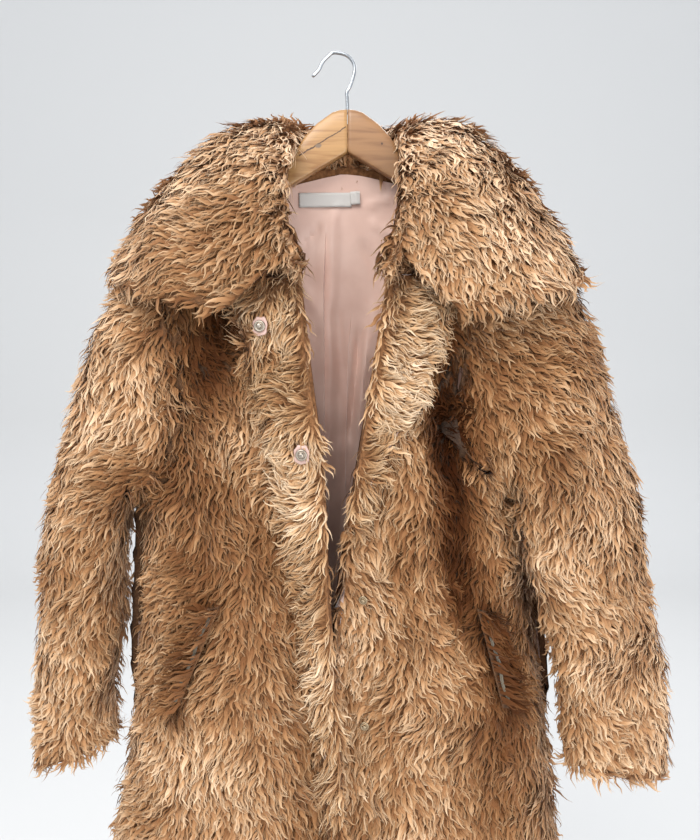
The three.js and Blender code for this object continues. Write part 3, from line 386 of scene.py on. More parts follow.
def wood_material(name, light, dark, turn, crack=None):
    material, tree, shader = new_material(name)
    shader.inputs["Roughness"].default_value = 0.38
    shader.inputs["Coat Weight"].default_value = 0.25
    shader.inputs["Coat Roughness"].default_value = 0.25
    coordinates = add(tree, "ShaderNodeTexCoord")
    along = add(tree, "ShaderNodeMapping")
    along.inputs["Rotation"].default_value = (0, turn, 0)
    along.inputs["Scale"].default_value = (14, 160, 160)
    join(tree, coordinates.outputs["Object"], along.inputs["Vector"])
    grain = add(tree, "ShaderNodeTexNoise")
    grain.inputs["Scale"].default_value = 1
    grain.inputs["Detail"].default_value = 6
    grain.inputs["Distortion"].default_value = 0.6
    join(tree, along.outputs["Vector"], grain.inputs["Vector"])
    ramp = add(tree, "ShaderNodeValToRGB")
    ramp_colours(ramp, [(0.32, dark), (0.5, light), (0.72, tuple(1.15 * c for c in light))])
    join(tree, grain.outputs["Fac"], ramp.inputs["Fac"])
    colour = ramp.outputs["Color"]
    if crack is not None:
        mark = attribute(tree, crack)
        mix = add(tree, "ShaderNodeMix", data_type="RGBA")
        mix.inputs[7].default_value = (0.06, 0.03, 0.012, 1)
        join(tree, mark.outputs["Fac"], mix.inputs["Factor"])
        join(tree, colour, mix.inputs[6])
        colour = mix.outputs[2]
    bump = add(tree, "ShaderNodeBump")
    bump.inputs["Strength"].default_value = 0.2
    bump.inputs["Distance"].default_value = 0.0004
    join(tree, grain.outputs["Fac"], bump.inputs["Height"])
    join(tree, colour, shader.inputs["Base Color"])
    join(tree, bump.outputs["Normal"], shader.inputs["Normal"])
    return material


def metal_material(name, colour, roughness, scale):
    material, tree, shader = new_material(name)
    shader.inputs["Metallic"].default_value = 1.0
    coordinates = add(tree, "ShaderNodeTexCoord")
    noise = add(tree, "ShaderNodeTexNoise")
    noise.inputs["Scale"].default_value = scale
    noise.inputs["Detail"].default_value = 3
    join(tree, coordinates.outputs["Object"], noise.inputs["Vector"])
    reader = add(tree, "ShaderNodeMapRange")
    reader.inputs["To Min"].default_value = roughness * 0.7
    reader.inputs["To Max"].default_value = roughness * 1.4
    join(tree, noise.outputs["Fac"], reader.inputs["Value"])
    join(tree, reader.outputs["Result"], shader.inputs["Roughness"])
    ramp = add(tree, "ShaderNodeValToRGB")
    ramp_colours(ramp, [(0.3, tuple(0.8 * c for c in colour)), (0.7, colour)])
    join(tree, noise.outputs["Fac"], ramp.inputs["Fac"])
    join(tree, ramp.outputs["Color"], shader.inputs["Base Color"])
    return material


LABEL_TAPE = label_material()
HOOK_WIRE = metal_material("Hook wire", (0.42, 0.44, 0.46), 0.24, 300)
SNAP_METAL = metal_material("Snap metal", (0.46, 0.40, 0.33), 0.36, 500)
SNAP_BRASS = metal_material("Dulled snap metal", (0.44, 0.34, 0.22), 0.42, 500)


# %% [markdown]
# ## The cloth under the pile
# Each fur panel is sewn from a knitted backing. A merged copy of the panel's solid gives its form.
# Its outer face is drawn in by the depth of the pile, because the solid reaches as far as the pile
# does, and its inner face keeps the lining. A point is on the outer face if its normal points away
# from the middle of the hollow that the panel wraps.

# %% Where the middle of each hollow lies


def body_middle(point):
    return Vector((MIDDLE_X, 0, min(point.z, -0.27)))


SLEEVE_AXES = {
    "sleeve_left": [Vector((-0.212, 0, -0.32)), Vector((-0.262, 0, -0.46)), Vector((-0.304, 0, -0.80))],
    "sleeve_right": [Vector((0.224, 0, -0.32)), Vector((0.262, -0.04, -0.46)), Vector((0.318, -0.034, -0.82))],
}


def sleeve_middle(name, point):
    axis = SLEEVE_AXES[name]
    best = None
    for start, end in zip(axis, axis[1:]):
        along = (point - start).dot(end - start) / (end - start).length_squared
        spot = start.lerp(end, clamp(along))
        if best is None or (spot - point).length < (best - point).length:
            best = spot
    return best


def collar_middle(point):
    # The pile lies on the top of the fall, so the middle is a ring below and inside it
    flat = Vector((point.x - MIDDLE_X, point.y * 1.3, 0))
    reach = min(flat.length, 0.11)
    ring = flat.normalized() * reach if flat.length > 1e-6 else flat
    return Vector((MIDDLE_X + ring.x, ring.y / 1.3, point.z - 0.09))


def turned_out(name, point, normal):
    if name.startswith("sleeve"):
        middle = sleeve_middle(name, point)
    elif name == "collar":
        middle = collar_middle(point)
    else:
        middle = body_middle(point)
    away = (point - middle).normalized()
    return normal.dot(away)


def outward_share(name, point, normal):
    return clamp(0.5 + 1.6 * turned_out(name, point, normal))


# %% [markdown]
# The pile isn't even: it parts beside the collar, sinks where the fronts and the sleeve meet, and
# is combed thin in places. A short table gives each such hollow as a line across the front, its
# half width, how deep the cloth sinks there, and how dark it is painted: partly the darker base
# that shows where the pile parts, and mostly painted shade of the hollow.

# %% Hollows in the pile, with their painted shade
HOLLOWS_WITH_PAINTED_SHADE = [
    {"top": (-0.102, -0.205), "bottom": (-0.142, -0.330), "half": 0.028, "depth": 0.009, "dark": 0.62},
    {"top": (-0.142, -0.330), "bottom": (-0.170, -0.420), "half": 0.024, "depth": 0.005, "dark": 0.42},
    {"top": (0.104, -0.235), "bottom": (0.116, -0.350), "half": 0.021, "depth": 0.010, "dark": 0.66},
    {"top": (0.116, -0.350), "bottom": (0.132, -0.560), "half": 0.019, "depth": 0.010, "dark": 0.72},
    {"top": (0.232, -0.150), "bottom": (0.262, -0.300), "half": 0.030, "depth": 0.002, "dark": 0.30},
    {"top": (-0.040, -0.560), "bottom": (-0.020, -0.900), "half": 0.016, "depth": 0.003, "dark": 0.18},
    {"top": (0.074, -0.500), "bottom": (0.060, -0.800), "half": 0.022, "depth": 0.003, "dark": 0.20},
    {"top": (-0.128, -0.560), "bottom": (-0.176, -0.690), "half": 0.011, "depth": 0.005, "dark": 0.45},
    {"top": (0.158, -0.565), "bottom": (0.190, -0.690), "half": 0.011, "depth": 0.005, "dark": 0.45},
]


def hollow_and_painted_shade_at(x, z):
    depth = dark = 0.0
    for row in HOLLOWS_WITH_PAINTED_SHADE:
        (ax, az), (bx, bz) = row["top"], row["bottom"]
        length = math.hypot(bx - ax, bz - az)
        along = ((x - ax) * (bx - ax) + (z - az) * (bz - az)) / length**2
        t = clamp(along)
        away = math.hypot(x - (ax + (bx - ax) * t), z - (az + (bz - az) * t))
        share = exp(-((away / row["half"]) ** 2))
        depth = max(depth, row["depth"] * share)
        dark = max(dark, row["dark"] * share)
    return depth, dark


# %% Broad patches of lighter and darker pile, with painted light and shade among them
# Where light catches the tips the pile looks cream, and where it is combed flat it looks amber. Several
# patches are painted shade where shadow falls: the hollows by the collar, the valley by the right
# sleeve and the body beside the arms. The collar's crest is painted light, made lighter where its
# locks face away from the lamps.
PILE_PATCHES_AND_PAINTED_LIGHT = [
    {"x": -0.170, "z": -0.275, "wide": 0.036, "tall": 0.048, "tone_and_painted_light": 0.68},
    {"x": -0.124, "z": -0.310, "wide": 0.036, "tall": 0.072, "tone_and_painted_light": 0.56},
    {"x": -0.141, "z": -0.446, "wide": 0.060, "tall": 0.038, "tone_and_painted_light": 0.55},
    {"x": -0.143, "z": -0.522, "wide": 0.042, "tall": 0.042, "tone_and_painted_light": 0.59},
    {"x": -0.078, "z": -0.500, "wide": 0.034, "tall": 0.060, "tone_and_painted_light": 0.74},
    {"x": -0.210, "z": -0.450, "wide": 0.030, "tall": 0.060, "tone_and_painted_light": 0.84},
    {"x": 0.124, "z": -0.390, "wide": 0.024, "tall": 0.090, "tone_and_painted_light": 0.38},
    {"x": 0.140, "z": -0.520, "wide": 0.026, "tall": 0.070, "tone_and_painted_light": 0.52},
    {"x": 0.080, "z": -0.500, "wide": 0.028, "tall": 0.045, "tone_and_painted_light": 0.80},
    {"x": 0.186, "z": -0.720, "wide": 0.050, "tall": 0.110, "tone_and_painted_light": 0.49},
    {"x": 0.170, "z": -0.600, "wide": 0.034, "tall": 0.050, "tone_and_painted_light": 0.59},
    {"x": 0.208, "z": -0.300, "wide": 0.055, "tall": 0.055, "tone_and_painted_light": 0.78},
    {"x": 0.222, "z": -0.420, "wide": 0.045, "tall": 0.050, "tone_and_painted_light": 0.79},
    {"x": -0.066, "z": -0.150, "wide": 0.030, "tall": 0.060, "tone_and_painted_light": 0.84},
    {"x": -0.060, "z": -0.230, "wide": 0.040, "tall": 0.030, "tone_and_painted_light": 0.80},
    {"x": 0.100, "z": -0.150, "wide": 0.028, "tall": 0.055, "tone_and_painted_light": 0.82},
    {"x": -0.283, "z": -0.680, "wide": 0.045, "tall": 0.060, "tone_and_painted_light": 0.90},
    {"x": 0.280, "z": -0.540, "wide": 0.040, "tall": 0.045, "tone_and_painted_light": 0.88},
    {"x": -0.160, "z": -0.190, "wide": 0.060, "tall": 0.060, "tone_and_painted_light": 1.06},
    {"x": 0.175, "z": -0.190, "wide": 0.070, "tall": 0.055, "tone_and_painted_light": 1.06},
    {"x": 0.300, "z": -0.700, "wide": 0.060, "tall": 0.070, "tone_and_painted_light": 1.06},
    {"x": 0.115, "z": -0.085, "wide": 0.090, "tall": 0.035, "tone_and_painted_light": 1.20},
    {"x": -0.078, "z": -0.085, "wide": 0.090, "tall": 0.035, "tone_and_painted_light": 1.20},
    {"x": 0.255, "z": -0.170, "wide": 0.050, "tall": 0.060, "tone_and_painted_light": 1.12},
    {"x": 0.200, "z": -0.120, "wide": 0.060, "tall": 0.034, "tone_and_painted_light": 1.22},
    {"x": -0.265, "z": -0.600, "wide": 0.060, "tall": 0.200, "tone_and_painted_light": 1.02},
    {"x": 0.020, "z": -0.860, "wide": 0.220, "tall": 0.140, "tone_and_painted_light": 0.97},
]


def patch_tone_and_painted_light_at(point):
    tone_and_painted_light = 1.0
    for row in PILE_PATCHES_AND_PAINTED_LIGHT:
        away = ((point.x - row["x"]) / row["wide"]) ** 2 + ((point.z - row["z"]) / row["tall"]) ** 2
        tone_and_painted_light *= 1 + (row["tone_and_painted_light"] - 1) * exp(-away)
    return tone_and_painted_light


def seen_share(name, point, normal):
    """Thinner pile where the collar or an arm lies over it, and behind."""
    share = 1.0
    if name.startswith("front") and point.z > -0.235:
        share = 0.35
    if name.startswith("sleeve") and normal.y > 0.1:
        share = 0.5
    if name.startswith("sleeve") and abs(point.x - MIDDLE_X) < 0.25 and point.z > -0.20:
        share *= 0.4
    if name == "collar" and (normal.y > 0.2 or normal.z < -0.5):
        share = 0.5
    if name == "back" and point.z > -0.19:
        share = 0.4
    return share


# %% Nap: the way the pile lies


def down_along(normal):
    down = Vector((0, 0, -1))
    return (down - normal * down.dot(normal)).normalized()


def nap_at(name, point, normal):
    down = down_along(normal) if abs(normal.z) < 0.999 else Vector((0, -1, 0))
    if name == "collar":
        out = Vector((point.x - MIDDLE_X, point.y * 1.2, 0)).normalized()
        way = out * 0.75 + down * 0.8
    elif name.startswith("sleeve"):
        side = -1 if name == "sleeve_left" else 1
        way = down + Vector((side * 0.25, 0, 0))
    elif name == "facing_left":
        way = down * 0.75 + Vector((-0.75, 0, 0))
    elif name == "lapel_right":
        way = down * 0.7 + Vector((0.75, 0, 0))
    else:
        way = down + Vector(((point.x - MIDDLE_X) * 1.2, 0, 0))
    way = way - normal * way.dot(normal)
    return way.normalized()


# %% The shell of one panel


def finished_object(name, mesh, *materials):
    for material in materials:
        mesh.materials.append(material)
    piece = bpy.data.objects.new(name, mesh)
    bpy.context.scene.collection.objects.link(piece)
    return piece


def merged_copy(node_name):
    form = bmesh.new()
    form.from_mesh(nodes[node_name].data)
    bmesh.ops.remove_doubles(form, verts=form.verts, dist=1e-5)
    return form


SHARP_TURN = 0.7


def smoothed(form, levels=1):
    crease = form.edges.layers.float.new("crease_edge")
    for edge in form.edges:
        if len(edge.link_faces) == 2 and edge.calc_face_angle() > SHARP_TURN:
            edge[crease] = 1.0
    mesh = bpy.data.meshes.new("form")
    form.to_mesh(mesh)
    form.free()
    holder = bpy.data.objects.new("form", mesh)
    bpy.context.scene.collection.objects.link(holder)
    finer = holder.modifiers.new("finer", "SUBSURF")
    finer.levels = levels
    finer.render_levels = levels
    result = bpy.data.meshes.new_from_object(holder.evaluated_get(bpy.context.evaluated_depsgraph_get()))
    bpy.data.objects.remove(holder)
    bpy.data.meshes.remove(mesh)
    return result


def wall_behind(tree, point, normal):
    hit = tree.ray_cast(point - normal * 0.0008, -normal, 0.05)
    return hit[3] + 0.0008 if hit[0] is not None else 0.016


SEAMED = ("front_left", "front_right", "back", "sleeve_left", "sleeve_right")
SEAM_REACH = 0.003


def neighbours_of(name):
    trees = []
    for other in SEAMED:
        if name in SEAMED and other != name:
            form = merged_copy(other)
            trees.append(BVHTree.FromBMesh(form))
            form.free()
    return trees


def kept_in_seam(trees, point, way):
    """Takes out of a way the share that leads across a seam."""
    for tree in trees:
        spot, _, _, gap = tree.find_nearest(point, SEAM_REACH)
        if spot is not None and gap > 1e-5:
            across = (spot - point) / gap
            way = way - across * way.dot(across)
    return way


# Above the cuffs and beyond the armholes the inside shows bare backing
CUFF_TOP = -0.62
ARMHOLE_REACH = 0.09
# The back's sides reach forward behind the arms, so that no light shows between arm and body
FILL_BARE = 0.0015
SIDE_FILLS = [
    {"x": -0.212, "z": -0.570, "wide": 0.035, "tall": 0.170, "push": -0.017},
    {"x": 0.226, "z": -0.630, "wide": 0.035, "tall": 0.110, "push": 0.015},
]


def side_fill(name, point):
    push = 0.0
    if name == "back" and point.y < 0.05:
        for row in SIDE_FILLS:
            away = ((point.x - row["x"]) / row["wide"]) ** 2 + ((point.z - row["z"]) / row["tall"]) ** 2
            push += row["push"] * exp(-(away**2))
    return push


def fur_shell(name, draw_in=PILE_DEPTH, levels=1):
    mesh = smoothed(merged_copy(name), levels)
    neighbours = neighbours_of(name)
    solid = BVHTree.FromPolygons([v.co for v in mesh.vertices], [p.vertices for p in mesh.polygons])
    normals = [v.normal.copy() for v in mesh.vertices]
    cover = np.zeros(len(mesh.vertices), dtype=np.float32)
    tone_and_painted_light = np.ones(len(mesh.vertices), dtype=np.float32)
    nap = np.zeros((len(mesh.vertices), 3), dtype=np.float32)
    for vertex, normal in zip(mesh.vertices, normals):
        point = vertex.co.copy()
        outward = outward_share(name, point, normal)
        on_front = normal.y < 0.2 or point.y < -0.03
        depth, dark = hollow_and_painted_shade_at(point.x, point.z) if on_front else (0.0, 0.0)
        if name in ("facing_left", "lapel_right", "collar"):
            depth, dark = 0.0, 0.0
        share = ease(outward, 0.12, 0.50)
        cover[vertex.index] = share * seen_share(name, point, normal)
        shaded = on_front or name == "collar"
        # The tone holds painted shade of the hollows times the patches of pile tone and painted light
        tone_and_painted_light[vertex.index] = (1.0 - dark) * (patch_tone_and_painted_light_at(point) if shaded else 1.0)
        nap[vertex.index] = nap_at(name, point, normal)
        # Painted shade: where the back reaches forward behind an arm, the backing is left bare and darkened to read as
        # the shadow between arm and body
        if abs(side_fill(name, point)) > FILL_BARE and normal.y < 0:
            cover[vertex.index] = 0.0
            tone_and_painted_light[vertex.index] = 0.45
        room = 0.7 * wall_behind(solid, point, normal)
        way = kept_in_seam(neighbours, point, normal)
        vertex.co = point - way * outward * min(draw_in + depth, room)
        vertex.co.x += side_fill(name, point)
    mesh.attributes.new("cover", "FLOAT", "POINT").data.foreach_set("value", cover)
    mesh.attributes.new("tone_and_painted_light", "FLOAT", "POINT").data.foreach_set("value", tone_and_painted_light)
    mesh.attributes.new("nap", "FLOAT_VECTOR", "POINT").data.foreach_set("vector", nap.ravel())
    mesh.shade_smooth()
    shell = finished_object(f"{name}_cloth", mesh, FUR_GROUND, LINING_SATIN)
    for face in mesh.polygons:
        turned_in = turned_out(name, face.center, face.normal) < -0.6
        all_fur = name == "collar" or name.startswith("pocket")
        all_fur = all_fur or (face.center.z > CUFF_TOP and abs(face.center.x - MIDDLE_X) > ARMHOLE_REACH)
        face.material_index = 1 if turned_in and not all_fur else 0
    return shell


# %% [markdown]
# ## The pile
# Long pile gathers in curved locks. A few lock shapes are drawn once, each a narrow ribbon that
# tapers and waves. Geometry Nodes then scatter points over the cloth, turn a lock at each point to
# the nap, lift it, and sway all the tips together through one noise, so that neighbours sweep the
# same way as real clumps do. Every lock keeps a number of its own, for its colour.

# %% Lock shapes
LOCK_ROWS = 6
LOCK_SHAPES = [
    {"sway": 0.070, "phase": 0.0, "turns": 1.3, "rise": 0.06, "droop": 0.10, "half": 0.060},
    {"sway": 0.085, "phase": 1.9, "turns": 1.5, "rise": 0.09, "droop": 0.16, "half": 0.050},
    {"sway": 0.050, "phase": 3.4, "turns": 1.0, "rise": 0.05, "droop": 0.04, "half": 0.070},
    {"sway": 0.095, "phase": 4.6, "turns": 1.4, "rise": 0.10, "droop": 0.22, "half": 0.045},
    {"sway": 0.075, "phase": 5.5, "turns": 1.2, "rise": 0.02, "droop": -0.04, "half": 0.055},
    {"sway": 0.090, "phase": 2.7, "turns": 1.1, "rise": 0.08, "droop": 0.12, "half": 0.042},
]


def lock_middle(shape, t):
    turn = 2 * pi * shape["turns"] * t + shape["phase"]
    x = shape["sway"] * (sin(turn) - sin(shape["phase"])) * (0.3 + 0.7 * t)
    return x, t, shape["rise"] * sin(pi * t) - shape["droop"] * t**2


def lock_object(number, shape):
    points, across, along, faces = [], [], [], []
    for row in range(LOCK_ROWS):
        t = row / LOCK_ROWS
        half = shape["half"] * (0.75 + 0.35 * sin(pi * min(1.4 * t, 1))) * (1 - t**3.5)
        x, y, z = lock_middle(shape, t)
        for side in (-1, 1):
            points.append((x + side * half, y, z))
            across.append((side + 1) / 2)
            along.append(t)
        if row:
            k = 2 * row
            faces.append((k - 2, k - 1, k + 1, k))
    points.append(lock_middle(shape, 1.0))
    across.append(0.5)
    along.append(1.0)
    last = 2 * LOCK_ROWS
    faces.append((last - 2, last - 1, last))
    mesh = bpy.data.meshes.new(f"lock_{number}")
    mesh.from_pydata(points, [], faces)
    mesh.attributes.new("across", "FLOAT", "POINT").data.foreach_set("value", across)
    mesh.attributes.new("along", "FLOAT", "POINT").data.foreach_set("value", along)
    mesh.shade_smooth()
    return bpy.data.objects.new(f"lock_{number}", mesh)


LOCKS = [lock_object(number, shape) for number, shape in enumerate(LOCK_SHAPES)]
LOCK_TRIANGLES = 2 * (LOCK_ROWS - 1) + 1
print("lock shapes:", len(LOCKS), "of", LOCK_TRIANGLES, "triangles")


# %% [markdown]
# The tree has one socket for each size that a maker would name. Nothing in it is random without a
# seed, so the coat comes out the same each time.

# %% The tree that grows the pile


def noise_in(tree, scale, offset=0.0):
    place = add(tree, "GeometryNodeInputPosition")
    shift = add(tree, "ShaderNodeVectorMath", operation="ADD")
    shift.inputs[1].default_value = (offset, offset, offset)
    noise = add(tree, "ShaderNodeTexNoise")
    noise.inputs["Scale"].default_value = scale
    noise.inputs["Detail"].default_value = 1.0
    join(tree, place.outputs[0], shift.inputs[0])
    join(tree, shift.outputs[0], noise.inputs["Vector"])
    return noise


def random_in(tree, low, high, seed):
    node = add(tree, "FunctionNodeRandomValue", data_type="FLOAT")
    node.inputs[2].default_value = low
    node.inputs[3].default_value = high
    node.inputs["Seed"].default_value = seed
    return node.outputs[1]


def calculate(tree, operation, first, second):
    node = add(tree, "ShaderNodeMath", operation=operation)
    for socket, value in zip(node.inputs, (first, second)):
        if isinstance(value, (int, float)):
            socket.default_value = value
        else:
            join(tree, value, socket)
    return node.outputs[0]


def named_value(tree, name, kind="FLOAT"):
    node = add(tree, "GeometryNodeInputNamedAttribute", data_type=kind)
    node.inputs["Name"].default_value = name
    return node.outputs["Attribute"]


def pile_tree():
    tree = bpy.data.node_groups.new("Pile", "GeometryNodeTree")
    face = tree.interface
    face.new_socket("Geometry", in_out="INPUT", socket_type="NodeSocketGeometry")
    for name in ("Locks per square metre", "Length", "Width", "Lift", "Swirl", "Sway", "Tuft"):
        face.new_socket(name, in_out="INPUT", socket_type="NodeSocketFloat")
    face.new_socket("Seed", in_out="INPUT", socket_type="NodeSocketInt")
    face.new_socket("Finish", in_out="INPUT", socket_type="NodeSocketMaterial")
    face.new_socket("Geometry", in_out="OUTPUT", socket_type="NodeSocketGeometry")
    given = add(tree, "NodeGroupInput")
    out = add(tree, "NodeGroupOutput")
    scatter = add(tree, "GeometryNodeDistributePointsOnFaces")
    join(tree, given.outputs["Geometry"], scatter.inputs["Mesh"])
    density = calculate(tree, "MULTIPLY", given.outputs["Locks per square metre"], named_value(tree, "cover"))
    join(tree, density, scatter.inputs["Density"])
    join(tree, given.outputs["Seed"], scatter.inputs["Seed"])
    # The nap, turned about the surface's own normal by a broad and a fine swirl
    broad = noise_in(tree, 11.0)
    fine = noise_in(tree, 38.0, 3.0)
    angle = calculate(tree, "SUBTRACT", broad.outputs["Fac"], 0.5)
    angle_fine = calculate(tree, "SUBTRACT", fine.outputs["Fac"], 0.5)
    angle = calculate(tree, "ADD", calculate(tree, "MULTIPLY", angle, 2.0), angle_fine)
    angle = calculate(tree, "MULTIPLY", angle, given.outputs["Swirl"])
    angle = calculate(tree, "ADD", angle, random_in(tree, -0.14, 0.14, 21))
    normal = scatter.outputs["Normal"]
    turned = add(tree, "ShaderNodeVectorRotate", rotation_type="AXIS_ANGLE")
    join(tree, named_value(tree, "nap", "FLOAT_VECTOR"), turned.inputs["Vector"])
    keep = add(tree, "GeometryNodeStoreNamedAttribute", data_type="FLOAT_VECTOR", domain="POINT")
    keep.inputs["Name"].default_value = "face_normal"
    join(tree, scatter.outputs["Points"], keep.inputs["Geometry"])
    join(tree, normal, keep.inputs["Value"])
    facing = named_value(tree, "face_normal", "FLOAT_VECTOR")
    join(tree, facing, turned.inputs["Axis"])
    join(tree, angle, turned.inputs["Angle"])
    # Tufts: each lock leans towards the middle of its cell, and each cell stands up by its own share
    place = add(tree, "GeometryNodeInputPosition")
    cell = add(tree, "ShaderNodeTexVoronoi")
    join(tree, calculate(tree, "DIVIDE", 1.0, given.outputs["Tuft"]), cell.inputs["Scale"])
    to_middle = add(tree, "ShaderNodeVectorMath", operation="SUBTRACT")
    join(tree, cell.outputs["Position"], to_middle.inputs[0])
    join(tree, place.outputs[0], to_middle.inputs[1])
    lean = add(tree, "ShaderNodeVectorMath", operation="SCALE")
    join(tree, to_middle.outputs[0], lean.inputs[0])
    join(tree, calculate(tree, "DIVIDE", 0.6, given.outputs["Length"]), lean.inputs["Scale"])
    cell_number = add(tree, "ShaderNodeSeparateXYZ")
    join(tree, cell.outputs["Color"], cell_number.inputs[0])
    lift = calculate(tree, "MULTIPLY", given.outputs["Lift"], random_in(tree, 0.5, 1.4, 22))
    stand = calculate(tree, "ADD", 0.6, calculate(tree, "MULTIPLY", cell_number.outputs[0], 0.8))
    lift = calculate(tree, "MULTIPLY", lift, stand)
    raised = add(tree, "ShaderNodeVectorMath", operation="SCALE")
    join(tree, facing, raised.inputs[0])
    join(tree, lift, raised.inputs["Scale"])
    way = add(tree, "ShaderNodeVectorMath", operation="ADD")
    join(tree, turned.outputs[0], way.inputs[0])
    join(tree, raised.outputs[0], way.inputs[1])
    leaning = add(tree, "ShaderNodeVectorMath", operation="ADD")
    join(tree, way.outputs[0], leaning.inputs[0])
    join(tree, lean.outputs[0], leaning.inputs[1])
    lie = add(tree, "FunctionNodeAlignRotationToVector", axis="Y")
    join(tree, leaning.outputs[0], lie.inputs["Vector"])
    roll = add(tree, "FunctionNodeAlignRotationToVector", axis="Z", pivot_axis="Y")
    join(tree, lie.outputs["Rotation"], roll.inputs["Rotation"])
    tilt = add(tree, "ShaderNodeVectorMath", operation="ADD")
    loose = add(tree, "FunctionNodeRandomValue", data_type="FLOAT_VECTOR")
    loose.inputs[0].default_value = (-0.28, -0.28, -0.28)
    loose.inputs[1].default_value = (0.28, 0.28, 0.28)
    loose.inputs["Seed"].default_value = 23
    join(tree, facing, tilt.inputs[0])
    join(tree, loose.outputs[0], tilt.inputs[1])
    join(tree, tilt.outputs[0], roll.inputs["Vector"])
    # Every lock keeps its own number, and takes its size from the sockets
    number = add(tree, "GeometryNodeStoreNamedAttribute", data_type="FLOAT", domain="POINT")
    number.inputs["Name"].default_value = "lock"
    join(tree, keep.outputs["Geometry"], number.inputs["Geometry"])
    join(tree, random_in(tree, 0.0, 1.0, 24), number.inputs["Value"])
    # Broad patches and single tufts differ in tone
    patches = noise_in(tree, 9.0, 5.0)
    broad_tone = add(tree, "ShaderNodeMapRange")
    broad_tone.inputs["From Min"].default_value = 0.32
    broad_tone.inputs["From Max"].default_value = 0.68
    broad_tone.inputs["To Min"].default_value = 0.76
    broad_tone.inputs["To Max"].default_value = 1.10
    join(tree, patches.outputs["Fac"], broad_tone.inputs["Value"])
    tuft_tone = calculate(tree, "ADD", 0.86, calculate(tree, "MULTIPLY", cell_number.outputs[1], 0.24))
    tone_and_painted_light = calculate(tree, "MULTIPLY", broad_tone.outputs["Result"], tuft_tone)
    # The shell's tone, with its painted light and shade, is carried into each lock
    tone_and_painted_light = calculate(tree, "MULTIPLY", tone_and_painted_light, named_value(tree, "tone_and_painted_light"))
    toned = add(tree, "GeometryNodeStoreNamedAttribute", data_type="FLOAT", domain="POINT")
    toned.inputs["Name"].default_value = "tone_and_painted_light"
    join(tree, number.outputs["Geometry"], toned.inputs["Geometry"])
    join(tree, tone_and_painted_light, toned.inputs["Value"])
    length = calculate(tree, "MULTIPLY", given.outputs["Length"], random_in(tree, 0.65, 1.2, 25))
    width = calculate(tree, "MULTIPLY", length, given.outputs["Width"])
    width = calculate(tree, "MULTIPLY", width, random_in(tree, 0.7, 1.3, 26))
    size = add(tree, "ShaderNodeCombineXYZ")
    join(tree, width, size.inputs[0])
    join(tree, length, size.inputs[1])
    join(tree, length, size.inputs[2])
    shapes = add(tree, "GeometryNodeJoinGeometry")
    for lock in LOCKS:
        info = add(tree, "GeometryNodeObjectInfo")
        info.inputs["Object"].default_value = lock
        info.inputs["As Instance"].default_value = True
        join(tree, info.outputs["Geometry"], shapes.inputs[0])
    plant = add(tree, "GeometryNodeInstanceOnPoints")
    plant.inputs["Pick Instance"].default_value = True
    pick = add(tree, "FunctionNodeRandomValue", data_type="INT")
    pick.inputs[4].default_value = 0
    pick.inputs[5].default_value = len(LOCKS) - 1
    pick.inputs["Seed"].default_value = 27
    join(tree, toned.outputs["Geometry"], plant.inputs["Points"])
    join(tree, shapes.outputs[0], plant.inputs["Instance"])
    join(tree, pick.outputs[2], plant.inputs["Instance Index"])
    join(tree, roll.outputs["Rotation"], plant.inputs["Rotation"])
    join(tree, size.outputs[0], plant.inputs["Scale"])
    real = add(tree, "GeometryNodeRealizeInstances")
    join(tree, plant.outputs["Instances"], real.inputs["Geometry"])
    # All tips sway through one noise
    drift = noise_in(tree, 42.0, 9.0)
    centred = add(tree, "ShaderNodeVectorMath", operation="SUBTRACT")
    centred.inputs[1].default_value = (0.5, 0.5, 0.5)
    join(tree, drift.outputs["Color"], centred.inputs[0])
    reach = calculate(tree, "POWER", named_value(tree, "along"), 1.4)
    reach = calculate(tree, "MULTIPLY", reach, given.outputs["Sway"])
    moved = add(tree, "ShaderNodeVectorMath", operation="SCALE")
    join(tree, centred.outputs[0], moved.inputs[0])
    join(tree, reach, moved.inputs["Scale"])
    sway = add(tree, "GeometryNodeSetPosition")
    join(tree, real.outputs["Geometry"], sway.inputs["Geometry"])
    join(tree, moved.outputs[0], sway.inputs["Offset"])
    finish = add(tree, "GeometryNodeSetMaterial")
    join(tree, sway.outputs["Geometry"], finish.inputs["Geometry"])
    join(tree, given.outputs["Finish"], finish.inputs["Material"])
    join(tree, finish.outputs["Geometry"], out.inputs["Geometry"])
    return tree


PILE = pile_tree()
print("pile tree:", len(PILE.nodes), "nodes")


# %% Growing the pile on one shell
FRONT_LIMIT = -0.1165


def socket_of(tree, name):
    for item in tree.interface.items_tree:
        if item.item_type == "SOCKET" and item.in_out == "INPUT" and item.name == name:
            return item.identifier
    raise KeyError(name)


def grow_pile(shell, name, sizes, finish):
    holder = bpy.data.objects.new(f"{name}_root", shell.data)
    bpy.context.scene.collection.objects.link(holder)
    grow = holder.modifiers.new("pile", "NODES")
    grow.node_group = PILE
    for label, value in sizes.items():
        grow[socket_of(PILE, label)] = value
    grow[socket_of(PILE, "Finish")] = finish
    evaluated = holder.evaluated_get(bpy.context.evaluated_depsgraph_get())
    mesh = bpy.data.meshes.new_from_object(evaluated)
    bpy.data.objects.remove(holder)
    for extra in ("nap", "cover", "face_normal"):
        if extra in mesh.attributes:
            mesh.attributes.remove(mesh.attributes[extra])
    for vertex in mesh.vertices:
        vertex.co.y = max(vertex.co.y, FRONT_LIMIT)
    pile = bpy.data.objects.new(name, mesh)
    bpy.context.scene.collection.objects.link(pile)
    print(name, "has", len(mesh.polygons) // LOCK_ROWS, "locks")
    return pile


# %% [markdown]
# Each panel has its own row of sizes. The collar's pile is the longest and stands highest, the
# facings' is thin and long, and the back, which hangs flat, has slightly broader locks.

